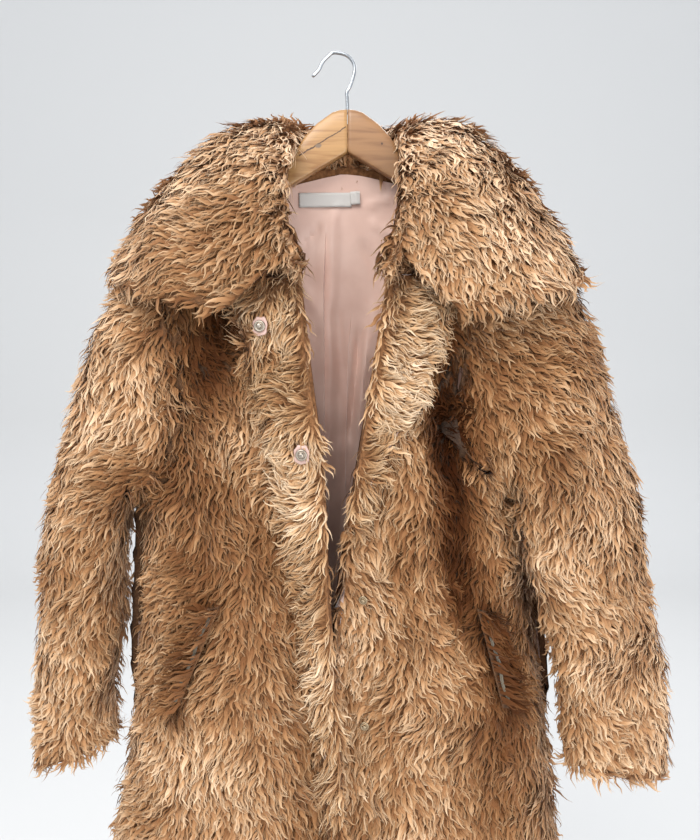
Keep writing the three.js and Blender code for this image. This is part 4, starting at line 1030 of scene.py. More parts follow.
# %% Panels and their pile
LONG = 0.0225
PANELS = [
    {"node": "front_left", "density": 69000, "length": LONG, "lift": 0.36, "swirl": 2.4, "tuft": 0.0085},
    {"node": "front_right", "density": 69000, "length": LONG, "lift": 0.36, "swirl": 2.4, "tuft": 0.0085},
    {"node": "back", "density": 18500, "length": 0.027, "lift": 0.40, "swirl": 2.2, "tuft": 0.012},
    {"node": "sleeve_left", "density": 76000, "length": LONG, "lift": 0.36, "swirl": 2.2, "tuft": 0.0085},
    {"node": "sleeve_right", "density": 72000, "length": LONG, "lift": 0.36, "swirl": 2.2, "tuft": 0.0085},
    {"node": "collar", "density": 84000, "length": 0.024, "lift": 0.36, "swirl": 2.0, "tuft": 0.009},
]
total_locks = 0
for number, row in enumerate(PANELS):
    shell = fur_shell(row["node"])
    sizes = {
        "Locks per square metre": float(row["density"]),
        "Length": row["length"],
        "Width": 1.30,
        "Lift": row["lift"],
        "Swirl": row["swirl"],
        "Sway": 0.014,
        "Tuft": row["tuft"],
        "Seed": SEED + number,
    }
    pile = grow_pile(shell, f"{row['node']}_pile", sizes, FUR)
    row["shell"], row["pile"] = shell, pile
    total_locks += len(pile.data.polygons) // LOCK_ROWS
    for piece in (shell, pile):
        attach(piece, "root")
        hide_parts(row["node"])
print("locks in all:", total_locks, "triangles:", total_locks * LOCK_TRIANGLES)

# %% Facing and lapel
FACINGS = [
    {"node": "facing_left", "density": 125000, "length": 0.021, "lift": 0.45, "swirl": 3.6, "tuft": 0.007},
    {"node": "lapel_right", "density": 125000, "length": 0.021, "lift": 0.45, "swirl": 3.4, "tuft": 0.007},
]
for number, row in enumerate(FACINGS):
    shell = fur_shell(row["node"], draw_in=0.005)
    sizes = {
        "Locks per square metre": float(row["density"]),
        "Length": row["length"],
        "Width": 0.95,
        "Lift": row["lift"],
        "Swirl": row["swirl"],
        "Sway": 0.024,
        "Tuft": row["tuft"],
        "Seed": SEED + 20 + number,
    }
    pile = grow_pile(shell, f"{row['node']}_pile", sizes, FACING_FUR)
    row["shell"], row["pile"] = shell, pile
    for piece in (shell, pile):
        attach(piece, "root")
        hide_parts(row["node"])

# %% [markdown]
# ## Pockets
# Each pocket is a slanted slit. A thin edge of grey-olive pocket cloth lines its mouth, painted near
# black as the shade inside the slit, and the pile of the outer side hangs over it, so that the slit
# reads as a broken dark line.

# %% Pocket mouths
POCKETS = [
    {"node": "pocket_left", "top": (-0.124, -0.566), "bottom": (-0.172, -0.680), "away": (-0.9, -0.4)},
    {"node": "pocket_right", "top": (0.156, -0.572), "bottom": (0.186, -0.682), "away": (0.9, -0.4)},
]


def node_tree(name):
    form = merged_copy(name)
    tree = BVHTree.FromBMesh(form)
    form.free()
    return tree


def face_at(tree, x, z, default):
    hit = tree.ray_cast(Vector((x, -0.5, z)), Vector((0, 1, 0)))
    return hit[0].y if hit[0] is not None else default


def strip_mesh(name, line, width, face, lift, thick):
    """A flat closed band along a line, lying in front of a face."""
    points, faces = [], []
    for k, (x, z) in enumerate(line):
        before = line[max(k - 1, 0)]
        after = line[min(k + 1, len(line) - 1)]
        way = Vector((after[0] - before[0], 0, after[1] - before[1])).normalized()
        side = Vector((-way.z, 0, way.x))
        y = face(x, z) - lift
        for offset, depth in ((-1, 0), (0, -0.3), (1, 0), (1, 1), (-1, 1)):
            spot = Vector((x, y, z)) + side * (offset * width / 2)
            spot.y += thick * depth
            points.append(spot)
    ring = 5
    for k in range(len(line) - 1):
        for i in range(ring):
            a, b = k * ring + i, k * ring + (i + 1) % ring
            faces.append((a, b, b + ring, a + ring))
    faces.append(tuple(reversed(range(ring))))
    faces.append(tuple(range((len(line) - 1) * ring, len(line) * ring)))
    mesh = bpy.data.meshes.new(name)
    mesh.from_pydata(points, [], faces)
    form = bmesh.new()
    form.from_mesh(mesh)
    bmesh.ops.recalc_face_normals(form, faces=form.faces)
    form.to_mesh(mesh)
    form.free()
    return mesh


for number, row in enumerate(POCKETS):
    name = row["node"]
    tree = node_tree(name)
    shell = fur_shell(name, draw_in=0.003)
    away = Vector((row["away"][0], 0, row["away"][1])).normalized()
    naps = [tuple(away)] * len(shell.data.vertices)
    shell.data.attributes["nap"].data.foreach_set("vector", np.array(naps, dtype=np.float32).ravel())
    sizes = {"Locks per square metre": 160000.0, "Length": 0.025, "Width": 1.2, "Lift": 0.40}
    sizes |= {"Swirl": 1.2, "Sway": 0.010, "Tuft": 0.008, "Seed": SEED + 30 + number}
    pile = grow_pile(shell, f"{name}_pile", sizes, FUR)
    (ax, az), (bx, bz) = row["top"], row["bottom"]
    line = [(ax + (bx - ax) * k / 12 + 0.0012 * sin(k * 1.3), az + (bz - az) * k / 12) for k in range(1, 12)]
    edge_mesh = strip_mesh(f"{name}_edge", line, 0.0030, lambda x, z: face_at(tree, x, z, -0.095), 0.0012, 0.0016)
    edge = finished_object(f"{name}_edge", edge_mesh, POCKET_EDGE)
    row["shell"], row["pile"], row["edge"] = shell, pile, edge
    for piece in (shell, pile, edge):
        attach(piece, "root")
        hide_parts(name)

# %% [markdown]
# ## Lining
# The back is lined with satin, with a pleat down the middle for ease. The visible strip has soft
# pulls from the neck, a second fold to the right of the pleat and small crushed wrinkles lower
# down. They are short lines in a table: a push above nought is a ridge towards the viewer.

# %% Creases of the lining
CREASES = [
    {"from": (-0.036, -0.185), "to": (-0.016, -0.170), "half": 0.0030, "push": -2.6},
    {"from": (0.028, -0.290), "to": (0.016, -0.410), "half": 0.0050, "push": -4.5},
    {"from": (0.036, -0.285), "to": (0.026, -0.410), "half": 0.0050, "push": 3.5},
    {"from": (0.016, -0.410), "to": (0.006, -0.560), "half": 0.0070, "push": -3.5},
    {"from": (-0.002, -0.255), "to": (0.012, -0.360), "half": 0.0060, "push": -3.0},
    {"from": (0.034, -0.146), "to": (0.064, -0.138), "half": 0.0035, "push": 1.6},
    {"from": (0.038, -0.163), "to": (0.070, -0.180), "half": 0.0035, "push": 1.6},
    {"from": (0.030, -0.185), "to": (0.060, -0.235), "half": 0.0060, "push": -1.8},
    {"from": (-0.040, -0.230), "to": (-0.018, -0.262), "half": 0.0055, "push": 1.8},
    {"from": (-0.034, -0.300), "to": (-0.016, -0.285), "half": 0.0040, "push": -1.5},
    {"from": (0.046, -0.250), "to": (0.040, -0.330), "half": 0.0080, "push": 2.2},
    {"from": (-0.020, -0.350), "to": (0.012, -0.362), "half": 0.0030, "push": -1.6},
    {"from": (-0.022, -0.374), "to": (0.016, -0.380), "half": 0.0028, "push": 1.5},
    {"from": (-0.022, -0.392), "to": (0.020, -0.402), "half": 0.0030, "push": -1.6},
    {"from": (-0.018, -0.424), "to": (0.024, -0.418), "half": 0.0034, "push": 1.5},
    {"from": (-0.014, -0.462), "to": (0.018, -0.478), "half": 0.0040, "push": -2.6},
    {"from": (-0.012, -0.505), "to": (0.016, -0.498), "half": 0.0036, "push": 1.5},
    {"from": (-0.010, -0.548), "to": (0.010, -0.560), "half": 0.0040, "push": -1.6},
    {"from": (-0.120, -0.300), "to": (-0.100, -0.560), "half": 0.0120, "push": -2.5},
    {"from": (0.110, -0.320), "to": (0.096, -0.620), "half": 0.0130, "push": 2.5},
    {"from": (-0.070, -0.640), "to": (-0.100, -0.960), "half": 0.0150, "push": 2.8},
    {"from": (0.070, -0.660), "to": (0.100, -0.980), "half": 0.0150, "push": -2.8},
]
LINING_WALL = 0.0011
LINING_ROWS = 100
CREASE_SCALE = 0.0016
# Columns crowd round the pleat and the second fold: a column's number, the line, and its step aside
LINING_COLUMNS = 92
COLUMN_STOPS = [
    (22, "pleat", -0.042), (42, "pleat", -0.0003), (43, "pleat", 0.0003),
    (53, "fold", -0.0003), (54, "fold", 0.0003), (72, "fold", 0.046),
]
PLEAT = [(-0.600, -0.0122), (-0.400, -0.0135), (-0.236, -0.0128), (-0.184, -0.0104), (-0.148, -0.0080)]
PLEAT_STEP = 0.0085
SECOND_FOLD = [(-0.560, 0.0100), (-0.400, 0.0120), (-0.300, 0.0150), (-0.240, 0.0200)]
SECOND_STEP = 0.0060


def pleat_push(x, z):
    """The left panel folds forward over the right one, which rises again at a second fold."""
    away = x - float(np.interp(z, *zip(*PLEAT)))
    push = 0.0
    if away < 0:
        push = PLEAT_STEP * ease(-z, 0.165, 0.230) * exp(-((away / 0.028) ** 2))
    past = x - float(np.interp(z, *zip(*SECOND_FOLD)))
    if past > 0:
        push += SECOND_STEP * ease(-z, 0.255, 0.330) * exp(-((past / 0.020) ** 2))
    return push


def crease_push(x, z):
    push = 0.0
    for row in CREASES:
        (ax, az), (bx, bz) = row["from"], row["to"]
        length = math.hypot(bx - ax, bz - az)
        along = ((x - ax) * (bx - ax) + (z - az) * (bz - az)) / length**2
        fade = ease(along, -0.15, 0.2) * (1 - ease(along, 0.8, 1.15))
        away = ((x - ax) * (bz - az) - (z - az) * (bx - ax)) / length
        push += row["push"] * CREASE_SCALE * fade * exp(-((away / row["half"]) ** 2))
    return push + pleat_push(x, z)


def lining_shell():
    form = merged_copy("lining_back")
    low = min(v.co.z for v in form.verts)
    high = max(v.co.z for v in form.verts)
    tree = BVHTree.FromBMesh(form)
    form.free()
    rows_z = []
    for k in range(LINING_ROWS + 1):
        rows_z.append(high - 0.0006 - (high - low - 0.0012) * (k / LINING_ROWS) ** 1.4)
    grid = []
    for z in rows_z:
        hits = []
        for k in range(-130, 131):
            x = MIDDLE_X + k * 0.002
            hit = tree.ray_cast(Vector((x, -0.5, z)), Vector((0, 1, 0)))
            if hit[0] is not None:
                hits.append((x, hit[0].y))
        if len(hits) < 3:
            continue
        xs = [h[0] for h in hits]
        ys = [h[1] for h in hits]
        left, right = xs[0], xs[-1]
        row = []
        lines = {"pleat": float(np.interp(z, *zip(*PLEAT))), "fold": float(np.interp(z, *zip(*SECOND_FOLD)))}
        stops = [(0, left)] + [(i, clamp(lines[line] + aside, left, right)) for i, line, aside in COLUMN_STOPS]
        stops.append((LINING_COLUMNS, right))
        for i in range(LINING_COLUMNS + 1):
            x = float(np.interp(i, *zip(*stops)))
            y = float(np.interp(x, xs, ys))
            row.append(Vector((x, y - max(crease_push(x, z), -0.0035) - 0.0004, z)))
        grid.append(row)
    count, width = len(grid), len(grid[0])
    back = [[p + Vector((0, LINING_WALL, 0)) for p in row] for row in grid]
    points = [p for row in grid for p in row] + [p for row in back for p in row]
    base = count * width
    faces = []
    for j in range(count - 1):
        for i in range(width - 1):
            a = j * width + i
            faces.append((a, a + width, a + width + 1, a + 1))
            faces.append((base + a, base + a + 1, base + a + width + 1, base + a + width))
    for j in range(count - 1):
        for i, flip in ((0, False), (width - 1, True)):
            a = j * width + i
            quad = (a, base + a, base + a + width, a + width)
            faces.append(quad[::-1] if flip else quad)
    for i in range(width - 1):
        for j, flip in ((0, True), (count - 1, False)):
            a = j * width + i
            quad = (a, base + a, base + a + 1, a + 1)
            faces.append(quad[::-1] if flip else quad)
    mesh = bpy.data.meshes.new("lining_satin")
    mesh.from_pydata(points, [], faces)
    mesh.shade_smooth()
    mesh.set_sharp_from_angle(angle=0.8)
    return finished_object("lining_satin", mesh, LINING_SATIN)


lining = lining_shell()
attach(lining, "root")
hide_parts("lining_back")
print("lining triangles:", 2 * len(lining.data.polygons))

# %% [markdown]
# ## Label and size tab
# Both are short lengths of woven tape, sewn on at their ends. They are left bare.

# %% Tape pieces
TAPES = [
    {"node": "label", "x": -0.0105, "z": -0.1405, "wide": 0.0575, "tall": 0.0150, "tilt": 0.012, "lift": 0.0022},
    {"node": "size_tab", "x": 0.0225, "z": -0.1385, "wide": 0.0105, "tall": 0.0135, "tilt": 0.05, "lift": 0.0034},
]


def tape(row, tree):
    columns, levels = 30, 6
    front = []
    for j in range(levels + 1):
        for i in range(columns + 1):
            u, v = i / columns - 0.5, j / levels - 0.5
            x = row["x"] + u * row["wide"] - v * row["tall"] * row["tilt"]
            z = row["z"] + v * row["tall"] + u * row["wide"] * row["tilt"]
            bow = 0.0007 * cos(pi * u) + 0.0002 * sin(9 * u + 2 * v)
            front.append(Vector((x, face_at(tree, x, z, 0.03) - row["lift"] - bow, z)))
    points = front + [p + Vector((0, 0.0006, 0)) for p in front]
    base, width = len(front), columns + 1
    faces = []
    for j in range(levels):
        for i in range(columns):
            a = j * width + i
            faces.append((a, a + 1, a + width + 1, a + width))
            faces.append((base + a, base + a + width, base + a + width + 1, base + a + 1))
    edge = [i for i in range(columns)] + [columns + width * j for j in range(levels)]
    edge += [levels * width + columns - i for i in range(columns)] + [width * (levels - j) for j in range(levels)]
    for a, b in zip(edge, edge[1:] + edge[:1]):
        faces.append((b, a, base + a, base + b))
    mesh = bpy.data.meshes.new(row["node"])
    mesh.from_pydata(points, [], faces)
    mesh.shade_smooth()
    return finished_object(f"{row['node']}_tape", mesh, LABEL_TAPE)


lining_tree = node_tree("lining_back")
for row in TAPES:
    row["piece"] = tape(row, lining_tree)
    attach(row["piece"], "root")
    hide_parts(row["node"])

# %% [markdown]
# ## Snaps
# A pressed snap is turned metal: a flange, a rolled rim and a stud. The two on the facing sit on
# small satin patches, and the two lower ones sink into the pile.

# %% Snap profile and patches
SNAP_TURNING = [
    (0.0, -0.0006), (0.0054, -0.0006), (0.0058, 0.0002), (0.0056, 0.0009), (0.0049, 0.0014), (0.0041, 0.0015),
    (0.0036, 0.0010), (0.0030, 0.0008), (0.0026, 0.0012), (0.0023, 0.0026), (0.0026, 0.0032), (0.0022, 0.0038),
    (0.0012, 0.0041), (0.0, 0.0041),
]


def node_middle(name):
    low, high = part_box(name)
    return (Vector(low) + Vector(high)) / 2


def face_normal(name):
    """The mean outward direction of the faces that look at the viewer."""
    total = Vector()
    for face in nodes[name].data.polygons:
        if face.normal.y < -0.2:
            total += face.normal * face.area
    return total.normalized()


def snap_piece(name, lift, share, metal):
    out = face_normal(name)
    middle = node_middle(name) + out * lift
    side = out.cross(Vector((0, 0, 1))).normalized()
    up = side.cross(out).normalized()
    sides = 28
    points, faces = [], []
    for radius, height in SNAP_TURNING:
        for k in range(sides):
            turn = 2 * pi * k / sides
            flat = side * (radius * cos(turn)) + up * (radius * sin(turn))
            points.append(middle + flat * share + out * (height * share - 0.0016))
    for j in range(len(SNAP_TURNING) - 1):
        for k in range(sides):
            a, b = j * sides + k, j * sides + (k + 1) % sides
            faces.append((a, a + sides, b + sides, b))
    mesh = bpy.data.meshes.new(name)
    mesh.from_pydata(points, [], faces)
    form = bmesh.new()
    form.from_mesh(mesh)
    bmesh.ops.remove_doubles(form, verts=form.verts, dist=1e-6)
    bmesh.ops.dissolve_degenerate(form, edges=form.edges, dist=1e-6)
    bmesh.ops.recalc_face_normals(form, faces=form.faces)
    form.to_mesh(mesh)
    form.free()
    mesh.shade_smooth()
    return finished_object(f"{name}_metal", mesh, metal)


def snap_patch(name, lift):
    out = face_normal(name)
    middle = node_middle(name) + out * lift
    side = out.cross(Vector((0, 0, 1))).normalized()
    up = side.cross(out).normalized()
    count = 40
    rings = [(1.0, -0.0006), (1.0, 0.0002), (0.82, 0.0007), (0.55, 0.0003), (0.3, 0.0)]
    points = []
    for share, height in rings:
        for k in range(count):
            turn = 2 * pi * k / count
            # A cut square patch with softened corners and a slightly frayed edge
            square = 1 / max(abs(cos(turn)), abs(sin(turn)))
            reach = 0.0084 * min(square, 1.12) * (1 + 0.05 * sin(7 * turn + len(name)) * share)
            flat = side * (0.86 * reach * share * cos(turn)) + up * (1.08 * reach * share * sin(turn))
            points.append(middle + flat + out * height)
    faces = [tuple(range(count))[::-1], tuple(range((len(rings) - 1) * count, len(rings) * count))]
    for j in range(len(rings) - 1):
        for k in range(count):
            a, b = j * count + k, j * count + (k + 1) % count
            faces.append((a, b, b + count, a + count))
    mesh = bpy.data.meshes.new(name)
    mesh.from_pydata(points, [], faces)
    form = bmesh.new()
    form.from_mesh(mesh)
    bmesh.ops.recalc_face_normals(form, faces=form.faces)
    form.to_mesh(mesh)
    form.free()
    mesh.shade_smooth()
    return finished_object(f"{name}_satin", mesh, PATCH_SATIN)


SNAPS = [
    ("snap_1", 0.003, 1.0, SNAP_METAL), ("snap_2", 0.003, 1.0, SNAP_METAL),
    ("snap_3", -0.001, 0.84, SNAP_BRASS), ("snap_4", -0.001, 0.84, SNAP_BRASS),
]
for name, lift, share, metal in SNAPS:
    piece = snap_piece(name, lift, share, metal)
    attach(piece, "root")
    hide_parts(name)
PATCHES = []
for name in ("snap_patch_1", "snap_patch_2"):
    piece = snap_patch(name, 0.0022)
    PATCHES.append(piece)
    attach(piece, "root")
    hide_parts(name)

# %% [markdown]
# ## Hanger
# Two halves of the same board meet in a mitre under the hook. Each is drawn as sections along its
# length: a top line and a lower line by distance from the mitre, with well rounded edges.

# %% Hanger arms
ARM_TOP = [(0, -52), (8, -52.6), (16, -55), (32, -66), (45, -79), (54, -93), (72, -107), (110, -125), (150, -147)]
ARM_TOP += [(178, -163), (186, -172)]
ARM_LOW = [(0, -96), (30, -113), (64, -132), (110, -155), (150, -172), (178, -181), (186, -180)]
ARM_HALF = 0.0065


def arm(outer):
    reaches = [0.3] + [4 * k for k in range(1, 46)] + [183, 185.5, 187.0]
    around = 28
    points, faces = [], []
    for reach in reaches:
        top = float(np.interp(reach, *zip(*ARM_TOP)))
        low = float(np.interp(reach, *zip(*ARM_LOW)))
        shrink = 1 - ease(reach, 180, 187.5) * 0.45
        middle, half = (top + low) / 2, (top - low) / 2 * shrink
        for k in range(around):
            turn = 2 * pi * k / around
            # The upper edge is well rounded and the lower one nearly square
            bend = 0.62 if sin(turn) > 0 else 0.22
            round_y = math.copysign(abs(cos(turn)) ** bend, cos(turn))
            round_z = math.copysign(abs(sin(turn)) ** bend, sin(turn))
            x = MIDDLE_X + outer * reach / 1000
            y = ARM_HALF * shrink * round_y
            points.append((x, y, (middle + half * round_z) / 1000))
    for j in range(len(reaches) - 1):
        for k in range(around):
            a, b = j * around + k, j * around + (k + 1) % around
            faces.append((a, b, b + around, a + around))
    faces.append(tuple(range(around)))
    faces.append(tuple(range((len(reaches) - 1) * around, len(reaches) * around)))
    mesh = bpy.data.meshes.new("arm")
    mesh.from_pydata(points, [], faces)
    form = bmesh.new()
    form.from_mesh(mesh)
    bmesh.ops.recalc_face_normals(form, faces=form.faces)
    form.to_mesh(mesh)
    form.free()
    mesh.shade_smooth()
    return mesh


def line_mask_group():
    """How near a place is to a line across the face, seen from the front."""
    tree = bpy.data.node_groups.new("Line on wood", "ShaderNodeTree")
    face = tree.interface
    face.new_socket("Start", in_out="INPUT", socket_type="NodeSocketVector")
    face.new_socket("Way", in_out="INPUT", socket_type="NodeSocketVector")
    face.new_socket("Width", in_out="INPUT", socket_type="NodeSocketFloat")
    face.new_socket("Mask", in_out="OUTPUT", socket_type="NodeSocketFloat")
    given = add(tree, "NodeGroupInput")
    out = add(tree, "NodeGroupOutput")
    place = add(tree, "ShaderNodeTexCoord")
    flat = add(tree, "ShaderNodeVectorMath", operation="MULTIPLY")
    flat.inputs[1].default_value = (1, 0, 1)
    join(tree, place.outputs["Object"], flat.inputs[0])
    noise = add(tree, "ShaderNodeTexNoise")
    noise.inputs["Scale"].default_value = 180
    join(tree, place.outputs["Object"], noise.inputs["Vector"])
    centred = add(tree, "ShaderNodeVectorMath", operation="SUBTRACT")
    centred.inputs[1].default_value = (0.5, 0.5, 0.5)
    join(tree, noise.outputs["Color"], centred.inputs[0])
    wobble = add(tree, "ShaderNodeVectorMath", operation="SCALE")
    wobble.inputs["Scale"].default_value = 0.003
    join(tree, centred.outputs[0], wobble.inputs[0])
    spot = add(tree, "ShaderNodeVectorMath", operation="ADD")
    join(tree, flat.outputs[0], spot.inputs[0])
    join(tree, wobble.outputs[0], spot.inputs[1])
    off = add(tree, "ShaderNodeVectorMath", operation="SUBTRACT")
    join(tree, spot.outputs[0], off.inputs[0])
    join(tree, given.outputs["Start"], off.inputs[1])
    dot = add(tree, "ShaderNodeVectorMath", operation="DOT_PRODUCT")
    join(tree, off.outputs[0], dot.inputs[0])
    join(tree, given.outputs["Way"], dot.inputs[1])
    own = add(tree, "ShaderNodeVectorMath", operation="DOT_PRODUCT")
    join(tree, given.outputs["Way"], own.inputs[0])
    join(tree, given.outputs["Way"], own.inputs[1])
    share = add(tree, "ShaderNodeMath", operation="DIVIDE", use_clamp=True)
    join(tree, dot.outputs["Value"], share.inputs[0])
    join(tree, own.outputs["Value"], share.inputs[1])
    foot = add(tree, "ShaderNodeVectorMath", operation="SCALE")
    join(tree, given.outputs["Way"], foot.inputs[0])
    join(tree, share.outputs[0], foot.inputs["Scale"])
    gap = add(tree, "ShaderNodeVectorMath", operation="DISTANCE")
    join(tree, off.outputs[0], gap.inputs[0])
    join(tree, foot.outputs[0], gap.inputs[1])
    over = add(tree, "ShaderNodeMath", operation="DIVIDE")
    join(tree, gap.outputs["Value"], over.inputs[0])
    join(tree, given.outputs["Width"], over.inputs[1])
    mask = add(tree, "ShaderNodeMapRange", interpolation_type="SMOOTHSTEP")
    mask.inputs["From Min"].default_value = 0.4
    mask.inputs["From Max"].default_value = 1.0
    mask.inputs["To Min"].default_value = 1.0
    mask.inputs["To Max"].default_value = 0.0
    join(tree, over.outputs[0], mask.inputs["Value"])
    join(tree, mask.outputs["Result"], out.inputs["Mask"])
    return tree


LINE_ON_WOOD = line_mask_group()


def mark_wood(material, marks):
    """Darkens the wood along short lines: a crack, a stain, a nail hole."""
    tree = material.node_tree
    shader = tree.nodes["Principled BSDF"]
    colour = shader.inputs["Base Color"].links[0].from_socket
    for start, end, width, dark in marks:
        group = add(tree, "ShaderNodeGroup", node_tree=LINE_ON_WOOD)
        group.inputs["Start"].default_value = (start[0], 0, start[1])
        group.inputs["Way"].default_value = (end[0] - start[0], 0, end[1] - start[1])
        group.inputs["Width"].default_value = width
        mix = add(tree, "ShaderNodeMix", data_type="RGBA")
        mix.inputs[7].default_value = (*dark, 1)
        join(tree, group.outputs["Mask"], mix.inputs["Factor"])
        join(tree, colour, mix.inputs[6])
        colour = mix.outputs[2]
    join(tree, colour, shader.inputs["Base Color"])


WOOD_LEFT = wood_material("Left arm wood", (0.43, 0.235, 0.088), (0.30, 0.141, 0.045), 0.55)
# The right arm is the same wood as the left, given darker colours as painted shade, since it is turned from the light
WOOD_RIGHT_PAINTED_SHADE = wood_material("Right arm wood", (0.30, 0.150, 0.060), (0.225, 0.102, 0.038), -0.55)
CRACK = (0.07, 0.03, 0.012)
STAIN = (0.20, 0.13, 0.08)
mark_wood(WOOD_LEFT, [
    ((0.0120, -0.0715), (-0.0159, -0.0880), 0.0009, CRACK),
    ((-0.0159, -0.0880), (-0.0370, -0.1000), 0.0011, CRACK),
    ((-0.0152, -0.0900), (-0.0180, -0.0905), 0.0024, STAIN),
])
mark_wood(WOOD_RIGHT_PAINTED_SHADE, [((0.0500, -0.0880), (0.0503, -0.0885), 0.0013, CRACK)])
for name, outer, wood in (("hanger_left", -1, WOOD_LEFT), ("hanger_right", 1, WOOD_RIGHT_PAINTED_SHADE)):
    piece = finished_object(f"{name}_wood", arm(outer), wood)
    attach(piece, "root")
    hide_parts(name)

# %% [markdown]
# The hook is one bent wire. A round section is carried along a smooth line through its bends.

# %% Hook wire
WIRE_RADIUS = 0.0018
WIRE_LINE = [
    (14, -56), (14, -50), (13.8, -42), (13.6, -34), (17, -28), (21.3, -14), (20, -4.5), (12.5, 2.6), (0, 5.0),
    (-6, 1.5), (-12, -4.5), (-16, -12), (-23, -19),
]


def smooth_line(points, steps):
    """A Catmull-Rom line through the points."""
    line = []
    for k in range(len(points) - 1):
        a, b = points[max(k - 1, 0)], points[k]
        c, d = points[k + 1], points[min(k + 2, len(points) - 1)]
        for s in range(steps):
            t = s / steps
            line.append(0.5 * (2 * b + (c - a) * t + (2 * a - 5 * b + 4 * c - d) * t**2 + (3 * b - a - 3 * c + d) * t**3))
    line.append(points[-1])
    return line


def wire_mesh():
    line = smooth_line([Vector((x / 1000, 0, z / 1000)) for x, z in WIRE_LINE], 7)
    sides = 14
    points, faces = [], []
    for k, place in enumerate(line):
        way = (line[min(k + 1, len(line) - 1)] - line[max(k - 1, 0)]).normalized()
        side = Vector((way.z, 0, -way.x))
        left = len(line) - 1 - k
        radius = WIRE_RADIUS * (1 if left > 1 else (0.85 if left == 1 else 0.45))
        for s in range(sides):
            turn = 2 * pi * s / sides
            points.append(place + side * (radius * cos(turn)) + Vector((0, radius * sin(turn), 0)))
    for j in range(len(line) - 1):
        for s in range(sides):
            a, b = j * sides + s, j * sides + (s + 1) % sides
            faces.append((a, b, b + sides, a + sides))
    faces.append(tuple(range(sides)))
    faces.append(tuple(range((len(line) - 1) * sides, len(line) * sides)))
    mesh = bpy.data.meshes.new("hook_wire")
    mesh.from_pydata(points, [], faces)
    form = bmesh.new()
    form.from_mesh(mesh)
    bmesh.ops.recalc_face_normals(form, faces=form.faces)
    form.to_mesh(mesh)
    form.free()
    mesh.shade_smooth()
    return mesh


hook = finished_object("hook_wire", wire_mesh(), HOOK_WIRE)
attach(hook, "root")
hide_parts("hanger_hook")

# %% [markdown]
# ## What each cloth was cut to
# The panels are cut flat and sewn. Each row gives the cut's width and length over all, its area,
# what carries it, and the pile that grows on it. Both sleeves are cut alike.

# %% Cut sizes of the cloth
SHOULDERS = ("hanger_left", "hanger_right")
CUTS = [
    {"cloth": "front_left_cloth", "flat": (0.270, 0.950), "area": 0.226, "on": SHOULDERS, "with": ("front_left_pile",)},
    {"cloth": "front_right_cloth", "flat": (0.270, 0.950), "area": 0.226, "on": SHOULDERS, "with": ("front_right_pile",)},
    {"cloth": "back_cloth", "flat": (0.540, 0.930), "area": 0.460, "on": SHOULDERS, "with": ("back_pile",)},
    {"cloth": "sleeve_left_cloth", "flat": (0.300, 0.590), "area": 0.155, "on": SHOULDERS, "with": ("sleeve_left_pile",)},
    {"cloth": "sleeve_right_cloth", "flat": (0.300, 0.590), "area": 0.155, "on": SHOULDERS, "with": ("sleeve_right_pile",)},
    {"cloth": "collar_cloth", "flat": (0.860, 0.210), "area": 0.172, "on": SHOULDERS, "with": ("collar_pile",)},
    {"cloth": "facing_left_cloth", "flat": (0.058, 0.540), "area": 0.0286, "on": ("front_left",), "with": ("facing_left_pile",)},
    {"cloth": "lapel_right_cloth", "flat": (0.070, 0.220), "area": 0.0118, "on": ("front_right",), "with": ("lapel_right_pile",)},
    {"cloth": "pocket_left_cloth", "flat": (0.016, 0.125), "area": 0.0019, "on": ("front_left",), "with": ("pocket_left_pile", "pocket_left_edge")},
    {"cloth": "pocket_right_cloth", "flat": (0.016, 0.125), "area": 0.0019, "on": ("front_right",), "with": ("pocket_right_pile", "pocket_right_edge")},
    {"cloth": "lining_satin", "flat": (0.540, 0.900), "area": 0.363, "on": ("back",), "with": ()},
    {"cloth": "label_tape", "flat": (0.0575, 0.0150), "area": 0.00086, "on": ("lining_back",), "with": ()},
    {"cloth": "size_tab_tape", "flat": (0.0105, 0.0135), "area": 0.00014, "on": ("lining_back",), "with": ()},
    {"cloth": "snap_patch_1_satin", "flat": (0.0155, 0.0190), "area": 0.00026, "on": ("facing_left",), "with": ()},
    {"cloth": "snap_patch_2_satin", "flat": (0.0155, 0.0190), "area": 0.00026, "on": ("facing_left",), "with": ()},
]
for row in CUTS:
    cloth = bpy.data.objects[row["cloth"]]
    half = sum(face.area for face in cloth.data.polygons) / 2
    print(row["cloth"], "cut to", row["area"], "measures", round(half, 5))

# %% [markdown]
# ## Looking at it
# The camera stands where the photographer stood, slightly above the collar and looking down a
# little. The stage is a pale floor and a far, softly lit wall.

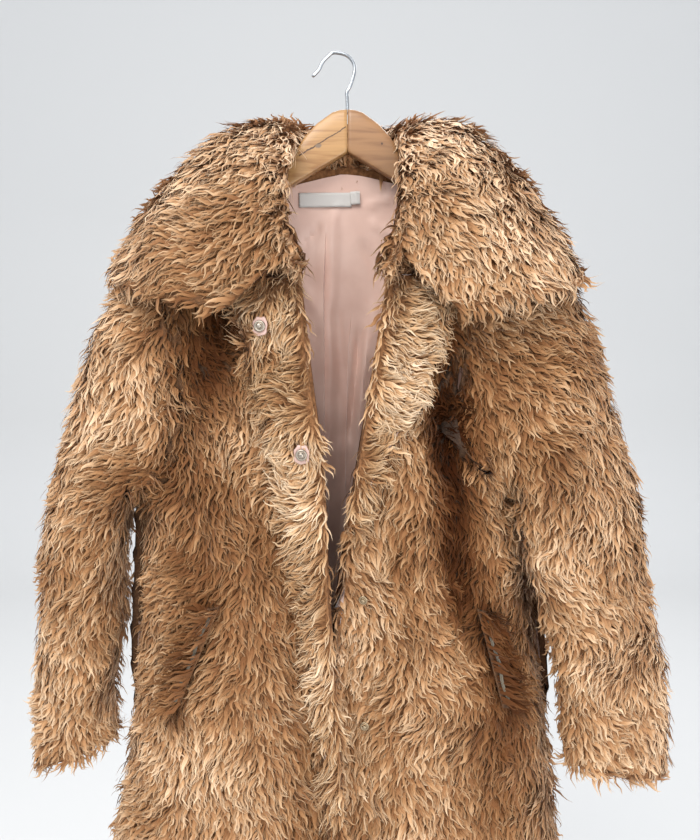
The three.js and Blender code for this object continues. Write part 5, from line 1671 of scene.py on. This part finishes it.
# %% Camera
camera_data = bpy.data.cameras.new("Camera")
camera_data.lens = 27.04
camera_data.sensor_width = 36
camera_data.clip_start = 0.01
camera = bpy.data.objects.new("Camera", camera_data)
camera.location = (0.0167, -0.700, -0.2995)
camera.rotation_euler = (math.radians(83.3), 0, 0)
bpy.context.scene.collection.objects.link(camera)
bpy.context.scene.camera = camera

# %% Floor and lights
FLOOR_Z = -1.55
WALL_Y = 3.2


def stage_sheet():
    profile = [(-6.0, FLOOR_Z), (WALL_Y - 0.8, FLOOR_Z)]
    for step in range(1, 8):
        turn = pi / 2 * step / 8
        profile.append((WALL_Y - 0.8 + 0.8 * sin(turn), FLOOR_Z + 0.8 * (1 - cos(turn))))
    profile += [(WALL_Y, FLOOR_Z + 0.8), (WALL_Y, 4.0)]
    points = [(x, y, z) for y, z in profile for x in (-7.0, 7.0)]
    faces = [(2 * k, 2 * k + 1, 2 * k + 3, 2 * k + 2) for k in range(len(profile) - 1)]
    mesh = bpy.data.meshes.new("stage")
    mesh.from_pydata(points, [], faces)
    mesh.shade_smooth()
    material, tree, shader = new_material("Stage paint")
    shader.inputs["Base Color"].default_value = (0.67, 0.668, 0.66, 1)
    shader.inputs["Roughness"].default_value = 0.8
    return finished_object("stage", mesh, material)


stage = stage_sheet()


def area_light(name, place, target, size, power, colour=(1, 1, 1)):
    data = bpy.data.lights.new(name, "AREA")
    data.shape = "RECTANGLE"
    data.size, data.size_y = size
    data.energy = power
    data.color = colour
    light = bpy.data.objects.new(name, data)
    light.location = place
    direction = Vector(target) - Vector(place)
    light.rotation_euler = direction.to_track_quat("-Z", "Y").to_euler()
    bpy.context.scene.collection.objects.link(light)
    return light


area_light("Sky window", (-0.9, -1.9, 1.7), (0, 0, -0.5), (2.4, 1.8), 80, (1, 0.985, 0.96))
area_light("Soft fill", (1.5, -2.0, -0.7), (0, 0, -0.3), (2.0, 1.8), 36, (0.97, 0.98, 1))
area_light("Back glow", (0.4, 2.0, 1.4), (0, 0, -0.4), (1.8, 1.2), 40)
world = bpy.data.worlds.new("Studio air")
world.use_nodes = True
world.node_tree.nodes["Background"].inputs["Color"].default_value = (0.9, 0.94, 1.0, 1)
world.node_tree.nodes["Background"].inputs["Strength"].default_value = 0.92
bpy.context.scene.world = world
bpy.context.scene.view_settings.view_transform = "Standard"
